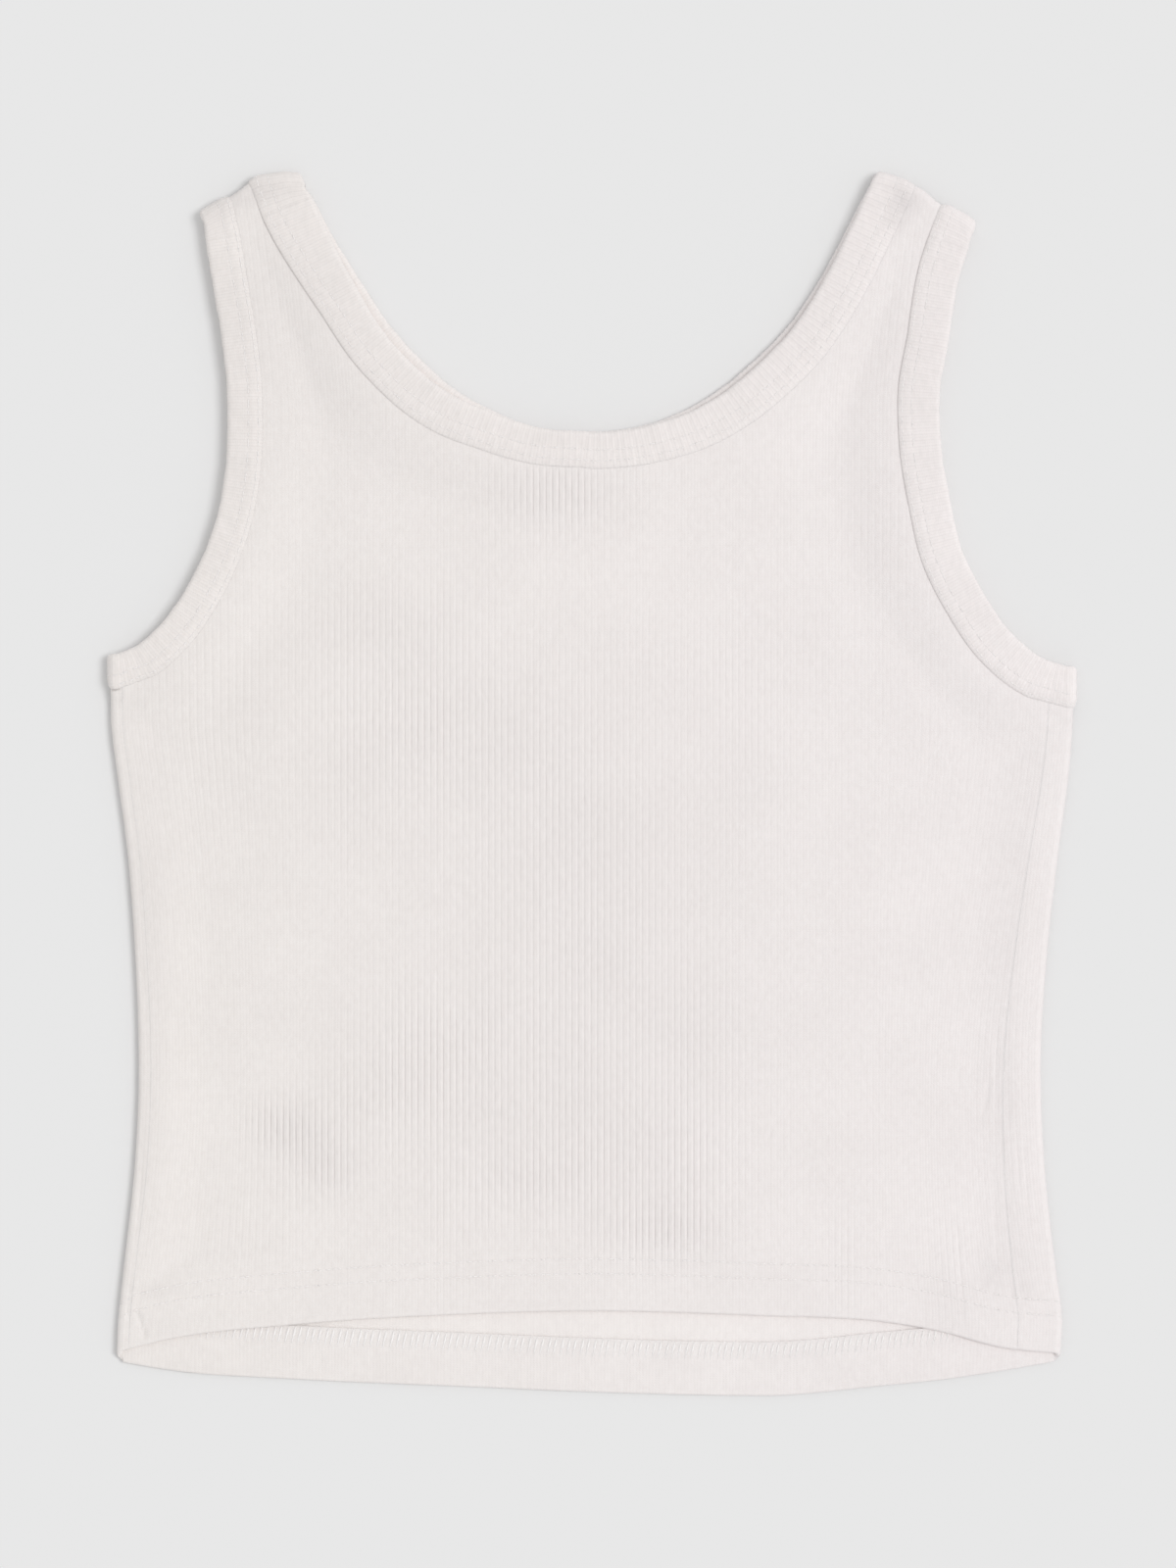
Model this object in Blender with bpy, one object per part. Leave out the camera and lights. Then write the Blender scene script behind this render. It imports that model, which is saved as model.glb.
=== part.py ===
"""A ribbed cotton tank top, laid flat with its back uppermost.

Lengths are in millimetres until the meshes are made. +X is across the garment, +Y runs from hem to
shoulders and +Z is up from the surface that it lies on. Each panel is one wall of rib knit. It is
drawn in its own pattern plane, then placed on the garment's form: flat, round the side and
shoulder folds, and turned up at the hem.
"""
import math

import bmesh
import bpy
import numpy as np
from mathutils import Matrix, Vector
from mathutils.geometry import delaunay_2d_cdt

GARMENT = "tank_top"
MM = 0.001

# Cloth
WALL = 1.0
SEAM_GAP = 0.3
RIB_PITCH = 2.4
RIB_HEIGHT = 0.35

# Bands, folded over the raw edge of a panel
BAND_HALF = 1.5 * WALL + SEAM_GAP
BAND_ROUND = 0.6
BAND_WIDTH_LEFT_ARM = 13.2
BAND_WIDTH_RIGHT_ARM = 15.6
BAND_WIDTH_NECK_SIDE = 16.0
BAND_WIDTH_NECK_MIDDLE = 13.6
NECK_MIDDLE_REACH = 45.0
RAW_EDGE_INSET = WALL + SEAM_GAP

# Folds
FOLD_RADIUS = BAND_HALF + SEAM_GAP / 2
HEM_RADIUS = (WALL + SEAM_GAP) / 2
HEM_DEPTH = 19.0
FOLD_STEPS = 4

# Heights of the middle of each wall above the surface below
LOWER_FIELD = WALL / 2
LOWER_BAND = BAND_HALF
UPPER_FIELD = LOWER_FIELD + WALL + SEAM_GAP
UPPER_BAND = LOWER_BAND + 2 * FOLD_RADIUS
HEM_LIFT = WALL + SEAM_GAP

# How far each rise of the cloth reaches beyond what lifts it
BAND_CLEARANCE = 0.45
LOWER_RAMP = 4.0
UPPER_RAMP = 17.0
SIDE_RAMP = 16.0
SIDE_HOLD = 0.8
SHOULDER_HOLD = 4.0
SHOULDER_RAMP = 6.0
HEM_HOLD = 20.6
HEM_RAMP = 9.0
HEM_CORNER_LEVEL = -216.0
SEAM_FOOT_LEVEL = -210.0
UNDERARM_LEVEL = 40.0
CORNER_LEFT = (-113.0, 30.0)
CORNER_RIGHT = (121.0, 28.0)

# Side silhouette: up, left edge, right edge, left seam inset, right seam inset
SIDES = (
    (60.0, -179.6, 180.4, 4.6, 9.0),
    (24.0, -179.6, 180.4, 4.6, 9.5),
    (4.0, -177.4, 179.0, 4.6, 10.0),
    (-25.0, -173.6, 175.2, 4.6, 10.8),
    (-62.0, -170.7, 171.0, 4.6, 12.2),
    (-107.5, -169.2, 168.4, 4.8, 14.0),
    (-144.0, -170.7, 169.8, 4.8, 15.2),
    (-181.0, -174.7, 173.8, 4.6, 16.2),
    (-203.0, -177.0, 176.4, 4.6, 16.5),
    (-220.0, -177.6, 175.2, 4.6, 16.5),
)

# Hems: across, up of the back's hem, up of the front's hem
HEMS = (
    (-182.0, -214.6, -216.4),
    (-155.0, -208.1, -220.9),
    (-111.0, -203.3, -223.9),
    (-45.0, -199.3, -226.8),
    (0.0, -198.2, -228.7),
    (65.0, -200.0, -230.1),
    (109.0, -202.2, -226.4),
    (131.0, -205.9, -224.2),
    (153.0, -211.6, -220.9),
    (182.0, -214.5, -215.8),
)

# Free edge of each armhole, shoulder to underarm: across, up
LEFT_ARMHOLE = (
    (-145.2, 209.5),
    (-141.6, 187.0),
    (-138.0, 165.0),
    (-135.9, 142.0),
    (-136.3, 120.0),
    (-139.5, 100.0),
    (-148.5, 77.0),
    (-160.5, 59.0),
    (-170.0, 50.4),
    (-174.6, 47.9),
    (-177.15, 47.5),
)
RIGHT_ARMHOLE = (
    (143.5, 206.0),
    (137.6, 188.0),
    (133.6, 164.0),
    (130.2, 142.0),
    (131.0, 124.0),
    (134.2, 105.0),
    (138.8, 86.0),
    (146.6, 70.5),
    (157.0, 55.5),
    (168.5, 46.2),
    (175.2, 43.3),
    (177.95, 43.0),
)

# Neck opening: up, left edge, right edge, how far the back's edge lies inside on each side
NECK = (
    (225.3, -107.2, 105.3, 0.0, 0.0),
    (208.0, -98.8, 96.5, 0.8, 0.8),
    (186.0, -85.5, 84.6, 2.6, 1.4),
    (170.0, -74.8, 73.6, 3.4, 1.8),
    (157.0, -62.9, 60.8, 3.5, 2.0),
    (146.0, -50.1, 47.4, 2.4, 1.9),
    (138.5, -36.4, 34.6, 0.8, 1.4),
    (133.6, -25.0, 21.8, 0.0, 0.6),
)
NECK_BOTTOM = (-1.8, 130.8)

# Fold line over each shoulder, armhole to neck, straight under each band: across, up
LEFT_SHOULDER = (
    (-145.2, 209.5),
    (-131.4, 217.8),
    (-125.4, 222.6),
    (-107.2, 225.3),
)
RIGHT_SHOULDER = (
    (143.5, 206.0),
    (127.6, 214.7),
    (122.8, 219.3),
    (105.3, 225.3),
)

# Soft swells of the upper layer: across, up, half width, half length, height
SWELLS = (
    (-20.0, 60.0, 70.0, 55.0, 1.5),
    (60.0, -60.0, 60.0, 80.0, 1.2),
    (-90.0, -110.0, 45.0, 60.0, 1.0),
    (-110.0, 20.0, 30.0, 40.0, 1.1),
    (128.0, 40.0, 26.0, 30.0, 1.2),
    (120.0, -150.0, 34.0, 40.0, 0.9),
)

# How the ribs follow the cut
RIB_BEND_REACH = 62.0
RIB_BEND_LEVEL = -60.0
RIB_BEND_TOP = 30.0
STRAP_LEAN_START = 140.0
STRAP_LEAN_END = 222.0
STRAP_LEAN = 8.5
STRAP_LEAN_INNER = 28.0
STRAP_LEAN_FULL = 70.0
STRAP_LEAN_LIMIT = 1.2
STRAP_LEAN_CURVE = 1.3
RIB_FADE = 1.3
RIB_END = 0.4
RIB_SHORTEST = 5.0
RIB_MARGIN = 0.55
HEM_RIBS = (-106.0, 117.0)
HEM_RIB_END = 4.6
RIB_REACH = 190.0
RIB_TOP = 230.0
SIDE_STRIP_REACH = 18.0

# Fineness of the meshes
EDGE_STEP = 2.0
BORDER_STEP = 11.0
BAND_SEARCH = 24.0
STATION_STEP = 8.0
COLUMN_STEP = 1.0
SIDE_COLUMN_STEP = 3.0
COLUMN_TOLERANCE = 0.28
PLAIN_TOLERANCE = 0.2
PLAIN_EVERY = 12
RAMP_STEPS = 3
CONTOUR_SLACK = 0.3
LINE_MARGIN = 0.5
CORNER_MARGIN = 1.0
SLOPE_STEP = 0.05
MERGE_DISTANCE = 1e-4

CLOTH_COLOUR = (0.80, 0.775, 0.755, 1.0)
BAND_COLOUR = (0.81, 0.785, 0.765, 1.0)
CLOTH_ROUGHNESS = 0.92


# Tables and curves

def hermite(rows, at):
    """Values of a smooth curve through rows, whose first column is where each row lies."""
    rows = np.array(sorted(rows), float)
    knots, values = rows[:, 0], rows[:, 1:]
    slopes = np.gradient(values, knots, axis=0)
    rises = np.diff(values, axis=0)
    slopes[1:-1][rises[:-1] * rises[1:] <= 0.0] = 0.0
    at = np.clip(at, knots[0], knots[-1])
    left = np.clip(np.searchsorted(knots, at, side="right") - 1, 0, len(knots) - 2)
    span = knots[left + 1] - knots[left]
    t = ((at - knots[left]) / span)[..., None]
    span = span[..., None]
    return (
        (2 * t**3 - 3 * t**2 + 1) * values[left]
        + (t**3 - 2 * t**2 + t) * span * slopes[left]
        + (3 * t**2 - 2 * t**3) * values[left + 1]
        + (t**3 - t**2) * span * slopes[left + 1]
    )


def column(rows, index):
    """A column of a table as a smooth function of the table's first column."""
    picked = [(row[0], row[index]) for row in rows]
    return lambda at: hermite(picked, np.asarray(at, float))[..., 0]


def falloff(distance, hold, reach):
    """1 up to hold, then a smooth fall to 0 over reach."""
    t = np.clip((distance - hold) / reach, 0.0, 1.0)
    return 1.0 - t * t * (3.0 - 2.0 * t)


def even(start, stop, step):
    """Evenly spaced values from start to stop, no more than step apart."""
    count = max(1, int(math.ceil(abs(stop - start) / step)))
    return np.linspace(start, stop, count + 1)


class Line:
    """A smooth plan curve with a normal on one side of it: +1 is left of its run, -1 is right."""

    def __init__(self, rows, side, straight=False):
        rows = np.array(rows, float)
        chords = np.hypot(*np.diff(rows, axis=0).T)
        knots = np.concatenate(([0.0], np.cumsum(chords)))
        table = [(k, *row) for k, row in zip(knots, rows)]
        at = even(0.0, knots[-1], EDGE_STEP)
        self.side = side
        if straight:
            self.points = np.stack([np.interp(at, knots, rows[:, i]) for i in (0, 1)], axis=1)
        else:
            self.points = hermite(table, at)
        self.measure()

    def measure(self):
        run = np.gradient(self.points, axis=0)
        run /= np.linalg.norm(run, axis=1)[:, None]
        self.normals = np.stack((-run[:, 1], run[:, 0]), axis=1) * self.side
        steps = np.hypot(*np.diff(self.points, axis=0).T)
        self.along = np.concatenate(([0.0], np.cumsum(steps)))
        self.length = self.along[-1]

    def shifted(self, inset):
        """The same line, moved along its normals by inset, one value a point."""
        other = object.__new__(Line)
        other.side = self.side
        other.points = self.points + self.normals * inset[:, None]
        other.measure()
        return other

    def at(self, along):
        point = [np.interp(along, self.along, self.points[:, i]) for i in (0, 1)]
        normal = np.array([np.interp(along, self.along, self.normals[:, i]) for i in (0, 1)])
        return np.array(point), normal / np.linalg.norm(normal, axis=0)

    def nearest(self, x, y):
        """Distance, place along the line, foot and signed distance on the normal's side."""
        start, chord = self.points[:-1], np.diff(self.points, axis=0)
        size = (chord**2).sum(axis=1)
        spot = np.stack((x, y), axis=-1)[..., None, :]
        part = np.clip(((spot - start) * chord).sum(axis=-1) / size, 0.0, 1.0)
        foot = start + part[..., None] * chord
        gaps = np.linalg.norm(spot - foot, axis=-1)
        best = np.argmin(gaps, axis=-1)[..., None]
        distance = np.take_along_axis(gaps, best, -1)[..., 0]
        part = np.take_along_axis(part, best, -1)[..., 0]
        best = best[..., 0]
        along = self.along[best] + part * np.sqrt(size[best])
        point, normal = self.at(along)
        beyond = ((np.stack((x, y)) - point) * normal).sum(axis=0)
        return distance, along, point, normal, beyond


# The garment's lines

left_edge, right_edge = column(SIDES, 1), column(SIDES, 2)
left_inset, right_inset = column(SIDES, 3), column(SIDES, 4)
back_hem_edge, front_hem_edge = column(HEMS, 1), column(HEMS, 2)
HEM_SHIFT = HEM_RADIUS + WALL / 2
FOLD_SHIFT = FOLD_RADIUS + WALL / 2


def left_fold(y):
    return left_edge(y) + FOLD_SHIFT


def right_fold(y):
    return right_edge(y) - FOLD_SHIFT


def left_seam(y):
    return left_edge(y) + left_inset(y)


def right_seam(y):
    return right_edge(y) - right_inset(y)


def back_hem(x):
    return back_hem_edge(x) + HEM_SHIFT


def front_hem(x):
    return front_hem_edge(x) + HEM_SHIFT


def neck_rows():
    left = [(row[1], row[0]) for row in NECK]
    right = [(row[2], row[0]) for row in reversed(NECK)]
    return left + [NECK_BOTTOM] + right


arm_left = Line(LEFT_ARMHOLE, +1)
arm_right = Line(RIGHT_ARMHOLE, -1)
neck_front = Line(neck_rows(), -1)
shoulder_left = Line(LEFT_SHOULDER, +1, straight=True)
shoulder_right = Line(RIGHT_SHOULDER, -1, straight=True)


def neck_inset(line):
    """How far the back's neck edge lies inside the front's, along each half."""
    left, right = (column([(row[0], row[k]) for row in NECK], 1)(line.points[:, 1]) for k in (3, 4))
    return np.clip(np.where(line.points[:, 0] < NECK_BOTTOM[0], left, right), 0.0, None)


neck_back = neck_front.shifted(neck_inset(neck_front))


def neck_width(line):
    middle = np.exp(-((line.points[:, 0] - NECK_BOTTOM[0]) / NECK_MIDDLE_REACH) ** 2)
    return BAND_WIDTH_NECK_SIDE - (BAND_WIDTH_NECK_SIDE - BAND_WIDTH_NECK_MIDDLE) * middle


def set_width(line, width):
    line.width = np.broadcast_to(width, line.along.shape)


set_width(arm_left, BAND_WIDTH_LEFT_ARM)
set_width(arm_right, BAND_WIDTH_RIGHT_ARM)
set_width(neck_front, neck_width(neck_front))
set_width(neck_back, neck_width(neck_back))
LOWER_EDGES = (arm_left, arm_right, neck_front)
UPPER_EDGES = (arm_left, arm_right, neck_back)


def clear_of_bands(edges, x, y):
    """Distance past the inner edge of the nearest band."""
    gaps = []
    for line in edges:
        distance, along = line.nearest(x, y)[:2]
        gaps.append(distance - np.interp(along, line.along, line.width))
    return np.minimum.reduce(gaps)


def over_shoulder(x, y):
    """How far a point lies past a shoulder line, with its foot there and the way out."""
    left, right = shoulder_left.nearest(x, y), shoulder_right.nearest(x, y)
    first = left[0] < right[0]
    foot, out = np.where(first, left[2], right[2]), np.where(first, left[3], right[3])
    beyond = np.where(first, left[4], right[4])
    return beyond, foot, out


# Heights of the two layers

def lower_height(x, y):
    band = falloff(clear_of_bands(LOWER_EDGES, x, y), BAND_CLEARANCE, LOWER_RAMP)
    shoulder = falloff(-over_shoulder(x, y)[0], SHOULDER_HOLD, SHOULDER_RAMP)
    return LOWER_FIELD + (LOWER_BAND - LOWER_FIELD) * np.maximum(band, shoulder)


def side_distance(x, y):
    return np.minimum(x - left_fold(y), right_fold(y) - x)


def upper_height(x, y):
    full = UPPER_BAND - UPPER_FIELD
    clear = clear_of_bands(UPPER_EDGES, x, y)
    band = falloff(clear, BAND_CLEARANCE, UPPER_RAMP)
    shoulder = falloff(-over_shoulder(x, y)[0], SHOULDER_HOLD, SHOULDER_RAMP)
    inward = side_distance(x, y)
    beside = LOWER_FIELD + 2 * FOLD_RADIUS - UPPER_FIELD
    corner = np.maximum(
        falloff(x, CORNER_LEFT[0], CORNER_LEFT[1]),
        falloff(-x, -CORNER_RIGHT[0], CORNER_RIGHT[1]),
    )
    hem = falloff(y - back_hem(x), HEM_HOLD, HEM_RAMP) * (1.0 + corner)
    lift = np.maximum.reduce((
        full * band,
        full * shoulder,
        beside * falloff(inward, SIDE_HOLD, SIDE_RAMP),
        HEM_LIFT * hem,
    ))
    slack = (1.0 - np.clip(lift / HEM_LIFT, 0.0, 1.0)) ** 2
    swell = sum(
        height * np.exp(-(((x - across) / wide) ** 2) - ((y - up) / long) ** 2)
        for across, up, wide, long, height in SWELLS
    )
    fold_x = np.where(x < 0.0, left_fold(y), right_fold(y))
    at_fold = lower_height(fold_x, y) + 2 * FOLD_RADIUS
    near_fold = falloff(inward, SIDE_HOLD, SIDE_RAMP / 2)
    return (UPPER_FIELD + lift + swell * slack) * (1.0 - near_fold) + at_fold * near_fold


def on_sheet(height, x, y, offset):
    """Points offset above a height field, measured along its normal."""
    step = SLOPE_STEP
    slope_x = (height(x + step, y) - height(x - step, y)) / (2 * step)
    slope_y = (height(x, y + step) - height(x, y - step)) / (2 * step)
    size = np.sqrt(1.0 + slope_x**2 + slope_y**2)
    z = height(x, y)
    return np.stack((x - offset * slope_x / size, y - offset * slope_y / size, z + offset / size))


def hem_turn(fold, t, offset):
    """Where a point of the pattern lies once the hem is turned up: its level and its depth."""
    below = np.clip(fold - t, 0.0, None)
    angle = np.clip(below / HEM_RADIUS, 0.0, math.pi)
    rest = np.clip(below - math.pi * HEM_RADIUS, 0.0, None)
    y = np.where(below > 0.0, fold - (HEM_RADIUS + offset) * np.sin(angle) + rest, t)
    return y, (HEM_RADIUS + offset) * np.cos(angle) - HEM_RADIUS


def hem_level(fold, t):
    """The level of a pattern point on the folded panel, whatever side of the wall it is on."""
    return np.where(t < fold, 2 * fold - t - math.pi * HEM_RADIUS, t).clip(min=fold - HEM_RADIUS)


def turned_over_shoulder(placed, x, y, offset, height, up):
    """Bends what lies past a shoulder line round the shoulder fold."""
    beyond, foot, out = over_shoulder(x, y)
    angle = np.clip(beyond, 0.0, None) / FOLD_RADIUS
    radius = FOLD_RADIUS + offset
    z = height(foot[0], foot[1]) - up * FOLD_RADIUS + up * radius * np.cos(angle)
    bent = np.stack((*(foot + out * radius * np.sin(angle)), z))
    return np.where(beyond > 0.0, bent, placed)


def place_back(x, t, offset):
    y, depth = hem_turn(back_hem(x), t, offset)
    flat = on_sheet(upper_height, x, y, depth)
    return turned_over_shoulder(flat, x, y, depth, upper_height, 1.0)


def front_hem_fold(s):
    """The front's hem line, carried round each side fold to meet the back's."""
    left, right = left_fold(HEM_CORNER_LEVEL), right_fold(HEM_CORNER_LEVEL)
    past = np.maximum(left - s, s - right)
    part = np.clip(past / (math.pi * FOLD_RADIUS), 0.0, 1.0)
    rest = np.clip(past - math.pi * FOLD_RADIUS, 0.0, None)
    upper_x = np.where(s < 0.0, left + rest, right - rest)
    return front_hem(np.clip(s, left, right)) * (1.0 - part) + back_hem(upper_x) * part


def place_front(s, t, offset):
    y, depth = hem_turn(front_hem_fold(s), t, offset)
    way = np.where(s < 0.0, -1.0, 1.0)
    fold_x = np.where(s < 0.0, left_fold(y), right_fold(y))
    past = way * (s - fold_x)
    under = on_sheet(lambda a, b: -lower_height(a, b), s, y, depth) * np.array((1, 1, -1))[:, None]
    under = turned_over_shoulder(under, s, y, depth, lower_height, -1.0)
    angle = np.clip(past / FOLD_RADIUS, 0.0, math.pi)
    radius = FOLD_RADIUS + depth
    z = lower_height(fold_x, y) + FOLD_RADIUS - radius * np.cos(angle)
    round_side = np.stack((fold_x + way * radius * np.sin(angle), y, z))
    over_x = fold_x - way * (past - math.pi * FOLD_RADIUS)
    over = on_sheet(upper_height, over_x, y, depth)
    placed = np.where(past > 0.0, round_side, under)
    return np.where(past > math.pi * FOLD_RADIUS, over, placed)


# Pattern outlines

def stations(line):
    """Places along a free edge where its band has a section, clear of the folds at its ends."""
    return even(STATION_STEP, line.length - STATION_STEP, STATION_STEP)


def inset_run(line, start, stop):
    """Points where a panel's raw edge lies, inside its free edge, between two places along it."""
    places = stations(line)
    low, high = min(start, stop) + HEM_RADIUS, max(start, stop) - HEM_RADIUS
    places = np.array([min(start, stop), *places[(places > low) & (places < high)], max(start, stop)])
    points, normals = line.at(places if start < stop else places[::-1])
    return (points + RAW_EDGE_INSET * normals).T


def seam_levels(fold, seam, top):
    """Pattern levels of a side seam, from the raw edge of the hem to just below top."""
    turn = [fold - HEM_RADIUS * math.pi * k / FOLD_STEPS for k in range(FOLD_STEPS, 0, -1)]
    raw = fold - math.pi * HEM_RADIUS - HEM_DEPTH
    near = even(top - BAND_SEARCH, top, HEM_RADIUS / 2)
    band = near[np.argmax(clear_of_bands(UPPER_EDGES, seam(near), near) < BAND_CLEARANCE)]
    middle = even(fold + HEM_HOLD, band - UPPER_RAMP, 2 * BORDER_STEP)
    ramp = [band - UPPER_RAMP * (RAMP_STEPS - k) / RAMP_STEPS for k in range(1, RAMP_STEPS + 1)]
    return np.array([raw, raw + HEM_DEPTH / 2, *turn, fold, fold + HEM_HOLD / 2, *middle, *ramp])


def shoulder_run(shoulder, start, stop, last_angle):
    """Over a shoulder fold, along its top and back, from one place on its line to another."""
    quarter = [FOLD_RADIUS * a for a in (math.pi / FOLD_STEPS, last_angle)]
    foot, out = shoulder.at(np.array([start]))
    rise = [(foot + out * e)[:, 0] for e in (0.0, quarter[0])]
    along, ways = shoulder.at(even(start, stop, BORDER_STEP / 2))
    top = list((along + ways * quarter[1]).T)
    foot, out = shoulder.at(np.array([stop]))
    drop = [(foot + out * e)[:, 0] for e in (quarter[0], 0.0)]
    return rise + top + drop


SHOULDER_END = math.pi / 2 - SEAM_GAP / 2 / FOLD_RADIUS


def strap_runs(neck):
    """The border of a panel from one underarm over both straps to the other."""
    start, end = STATION_STEP, RAW_EDGE_INSET
    over_left = shoulder_run(shoulder_left, end, shoulder_left.length - end, SHOULDER_END)
    over_right = shoulder_run(shoulder_right, shoulder_right.length - end, end, SHOULDER_END)
    middle = list(inset_run(neck, start, neck.length - start))
    return over_left + middle + over_right


def where_across(line, x):
    """The place along an armhole near the underarm where its inset run crosses x."""
    points = line.points + line.normals * RAW_EDGE_INSET
    tail = slice(len(points) // 2, None)
    order = np.argsort(points[tail, 0])
    return float(np.interp(x, points[tail, 0][order], line.along[tail][order]))


def back_border():
    gap = SEAM_GAP / 2
    start = STATION_STEP
    left_stop = where_across(arm_left, float(left_seam(arm_left.points[-1, 1])) + gap)
    right_stop = where_across(arm_right, float(right_seam(arm_right.points[-1, 1])) - gap)
    left_arm = list(inset_run(arm_left, left_stop, start))
    right_arm = list(inset_run(arm_right, start, right_stop))
    fold_left = float(back_hem(left_seam(SEAM_FOOT_LEVEL)))
    fold_right = float(back_hem(right_seam(SEAM_FOOT_LEVEL)))
    up = seam_levels(fold_left, left_seam, left_arm[0][1])
    down = seam_levels(fold_right, right_seam, right_arm[-1][1])[::-1]
    left = [(float(left_seam(hem_level(fold_left, t))) + gap, t) for t in up]
    right = [(float(right_seam(hem_level(fold_right, t))) - gap, t) for t in down]
    raw_x = even(right[-1][0], left[0][0], BORDER_STEP)[1:-1]
    raw = [(x, float(back_hem(x)) - math.pi * HEM_RADIUS - HEM_DEPTH) for x in raw_x]
    return left + left_arm + strap_runs(neck_back) + right_arm + right + raw


def side_run(line, fold, seam, way):
    """The front's border at an underarm, from the seam on the upper layer to the fold below."""
    level = line.points[-1, 1]
    turn = math.pi * FOLD_RADIUS
    stop = where_across(line, float(seam(level)) - way * -SEAM_GAP / 2)
    upper = inset_run(line, stop, line.length)[:-1]
    fold_x = float(fold(level))
    over = [(fold_x + way * (turn + way * (fold_x - x)), y) for x, y in upper]
    bend = [(fold_x + way * turn * (1 - k / FOLD_STEPS), level - RAW_EDGE_INSET)
            for k in range(FOLD_STEPS + 1)]
    return over + bend


def seam_in_pattern(fold, seam, y, way):
    """Where a side seam lies in the front's pattern, past the side fold."""
    x = seam(y) + way * SEAM_GAP / 2
    return fold(y) + way * (math.pi * FOLD_RADIUS + way * (fold(y) - x))


def front_row(offset):
    """A row across the front's pattern, offset from the hem fold, with points at the side folds."""
    corner = float(back_hem_edge(SIDES[0][1]))
    level = float(hem_level(corner, corner + offset))
    turn = [math.pi * FOLD_RADIUS * k / FOLD_STEPS for k in range(FOLD_STEPS + 1)]
    left, right = float(left_fold(level)), float(right_fold(level))
    reach = right - float(right_seam(level))
    across = np.concatenate((
        [left - past for past in turn[::-1]],
        even(left, right, BORDER_STEP)[1:-1],
        [right + past for past in turn],
        even(right + turn[-1], right + turn[-1] + reach, BORDER_STEP)[1:-1],
    ))
    return np.stack((across, front_hem_fold(across) + offset), axis=1)


def front_border():
    start = STATION_STEP
    left_top = side_run(arm_left, left_fold, left_seam, -1.0)
    right_top = side_run(arm_right, right_fold, right_seam, 1.0)[::-1]
    left_arm = list(inset_run(arm_left, arm_left.length, start))[1:]
    right_arm = list(inset_run(arm_right, start, arm_right.length))[:-1]
    s_left = float(seam_in_pattern(left_fold, left_seam, SEAM_FOOT_LEVEL, -1.0))
    s_right = float(seam_in_pattern(right_fold, right_seam, SEAM_FOOT_LEVEL, 1.0))
    fold_left, fold_right = float(front_hem_fold(s_left)), float(front_hem_fold(s_right))
    up = seam_levels(fold_left, left_seam, left_top[0][1])
    down = seam_levels(fold_right, right_seam, right_top[-1][1])[::-1]
    left = [(float(seam_in_pattern(left_fold, left_seam, hem_level(fold_left, t), -1.0)), t)
            for t in up]
    right = [(float(seam_in_pattern(right_fold, right_seam, hem_level(fold_right, t), 1.0)), t)
             for t in down]
    raw = front_row(-math.pi * HEM_RADIUS - HEM_DEPTH)[::-1]
    raw = [p for p in raw if left[0][0] + CORNER_MARGIN < p[0] < right[-1][0] - CORNER_MARGIN]
    arms = left_top + left_arm + strap_runs(neck_front) + right_arm + right_top
    return left + arms + right + raw


# Lines inside a pattern that its wall bends on

def inside(border, points):
    """Which points lie inside a border, clear of it by LINE_MARGIN."""
    border, points = np.array(border), np.array(points)
    start, end = border, np.roll(border, -1, axis=0)
    x, y = points[:, 0, None], points[:, 1, None]
    crosses = (start[:, 1] > y) != (end[:, 1] > y)
    rise = np.where(end[:, 1] == start[:, 1], 1.0, end[:, 1] - start[:, 1])
    hit = crosses & (x < start[:, 0] + (y - start[:, 1]) * (end[:, 0] - start[:, 0]) / rise)
    chord = end - start
    part = ((points[:, None] - start) * chord).sum(-1) / np.maximum((chord**2).sum(-1), 1e-9)
    foot = start + np.clip(part, 0.0, 1.0)[..., None] * chord
    near = np.linalg.norm(points[:, None] - foot, axis=-1).min(axis=1)
    return (hit.sum(axis=1) % 2 == 1) & (near > LINE_MARGIN)


def runs(keep):
    """Start and stop of each unbroken run of true values."""
    marks = np.flatnonzero(np.diff(np.concatenate(([0], keep.astype(int), [0]))))
    return zip(marks[::2], marks[1::2])


def kept_lines(border, line, rise=0.0):
    """The stretches of a line that lie inside the border, as rows of across, up and rise."""
    line = np.array(line, float)
    pieces = [line[a:b] for a, b in runs(inside(border, line[:, :2])) if b - a > 0]
    return [np.column_stack((piece[:, :2], np.full(len(piece), rise))) for piece in pieces]


def contour_lines(border, edges, gaps, tolerance):
    """Lines at given gaps beyond the inner edge of each band, where no other band is nearer."""
    found = []
    for line in edges:
        along = even(0.0, line.length, EDGE_STEP / 2)
        points, normals = line.at(along)
        width = np.interp(along, line.along, line.width)
        for gap in gaps:
            spots = (points + normals * (width + gap)).T
            near = clear_of_bands(edges, spots[:, 0], spots[:, 1])
            keep = (near > gap - CONTOUR_SLACK) & inside(border, spots)
            for start, stop in runs(keep):
                piece = spots[start:stop][thinned(spots[start:stop], tolerance)]
                found.append(np.column_stack((piece, np.zeros(len(piece)))))
    return found


def hem_lines(border, fold, start, stop, step, levels):
    across = even(start, stop, step)
    return [
        piece for level in levels
        for piece in kept_lines(border, np.stack((across, fold(across) + level), axis=1))
    ]


def shoulder_lines(border, step):
    """Lines along the bend of each shoulder fold."""
    found = []
    for shoulder in (shoulder_left, shoulder_right):
        feet, out = shoulder.at(even(0.0, shoulder.length, step))
        for reach in (-SHOULDER_RAMP, -SHOULDER_HOLD / 4, 0.0, FOLD_RADIUS * math.pi / FOLD_STEPS):
            found += kept_lines(border, (feet + out * reach).T)
    return found


HEM_TURN = [-HEM_RADIUS * math.pi * k / FOLD_STEPS for k in range(FOLD_STEPS + 1)]


# Rib columns

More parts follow.
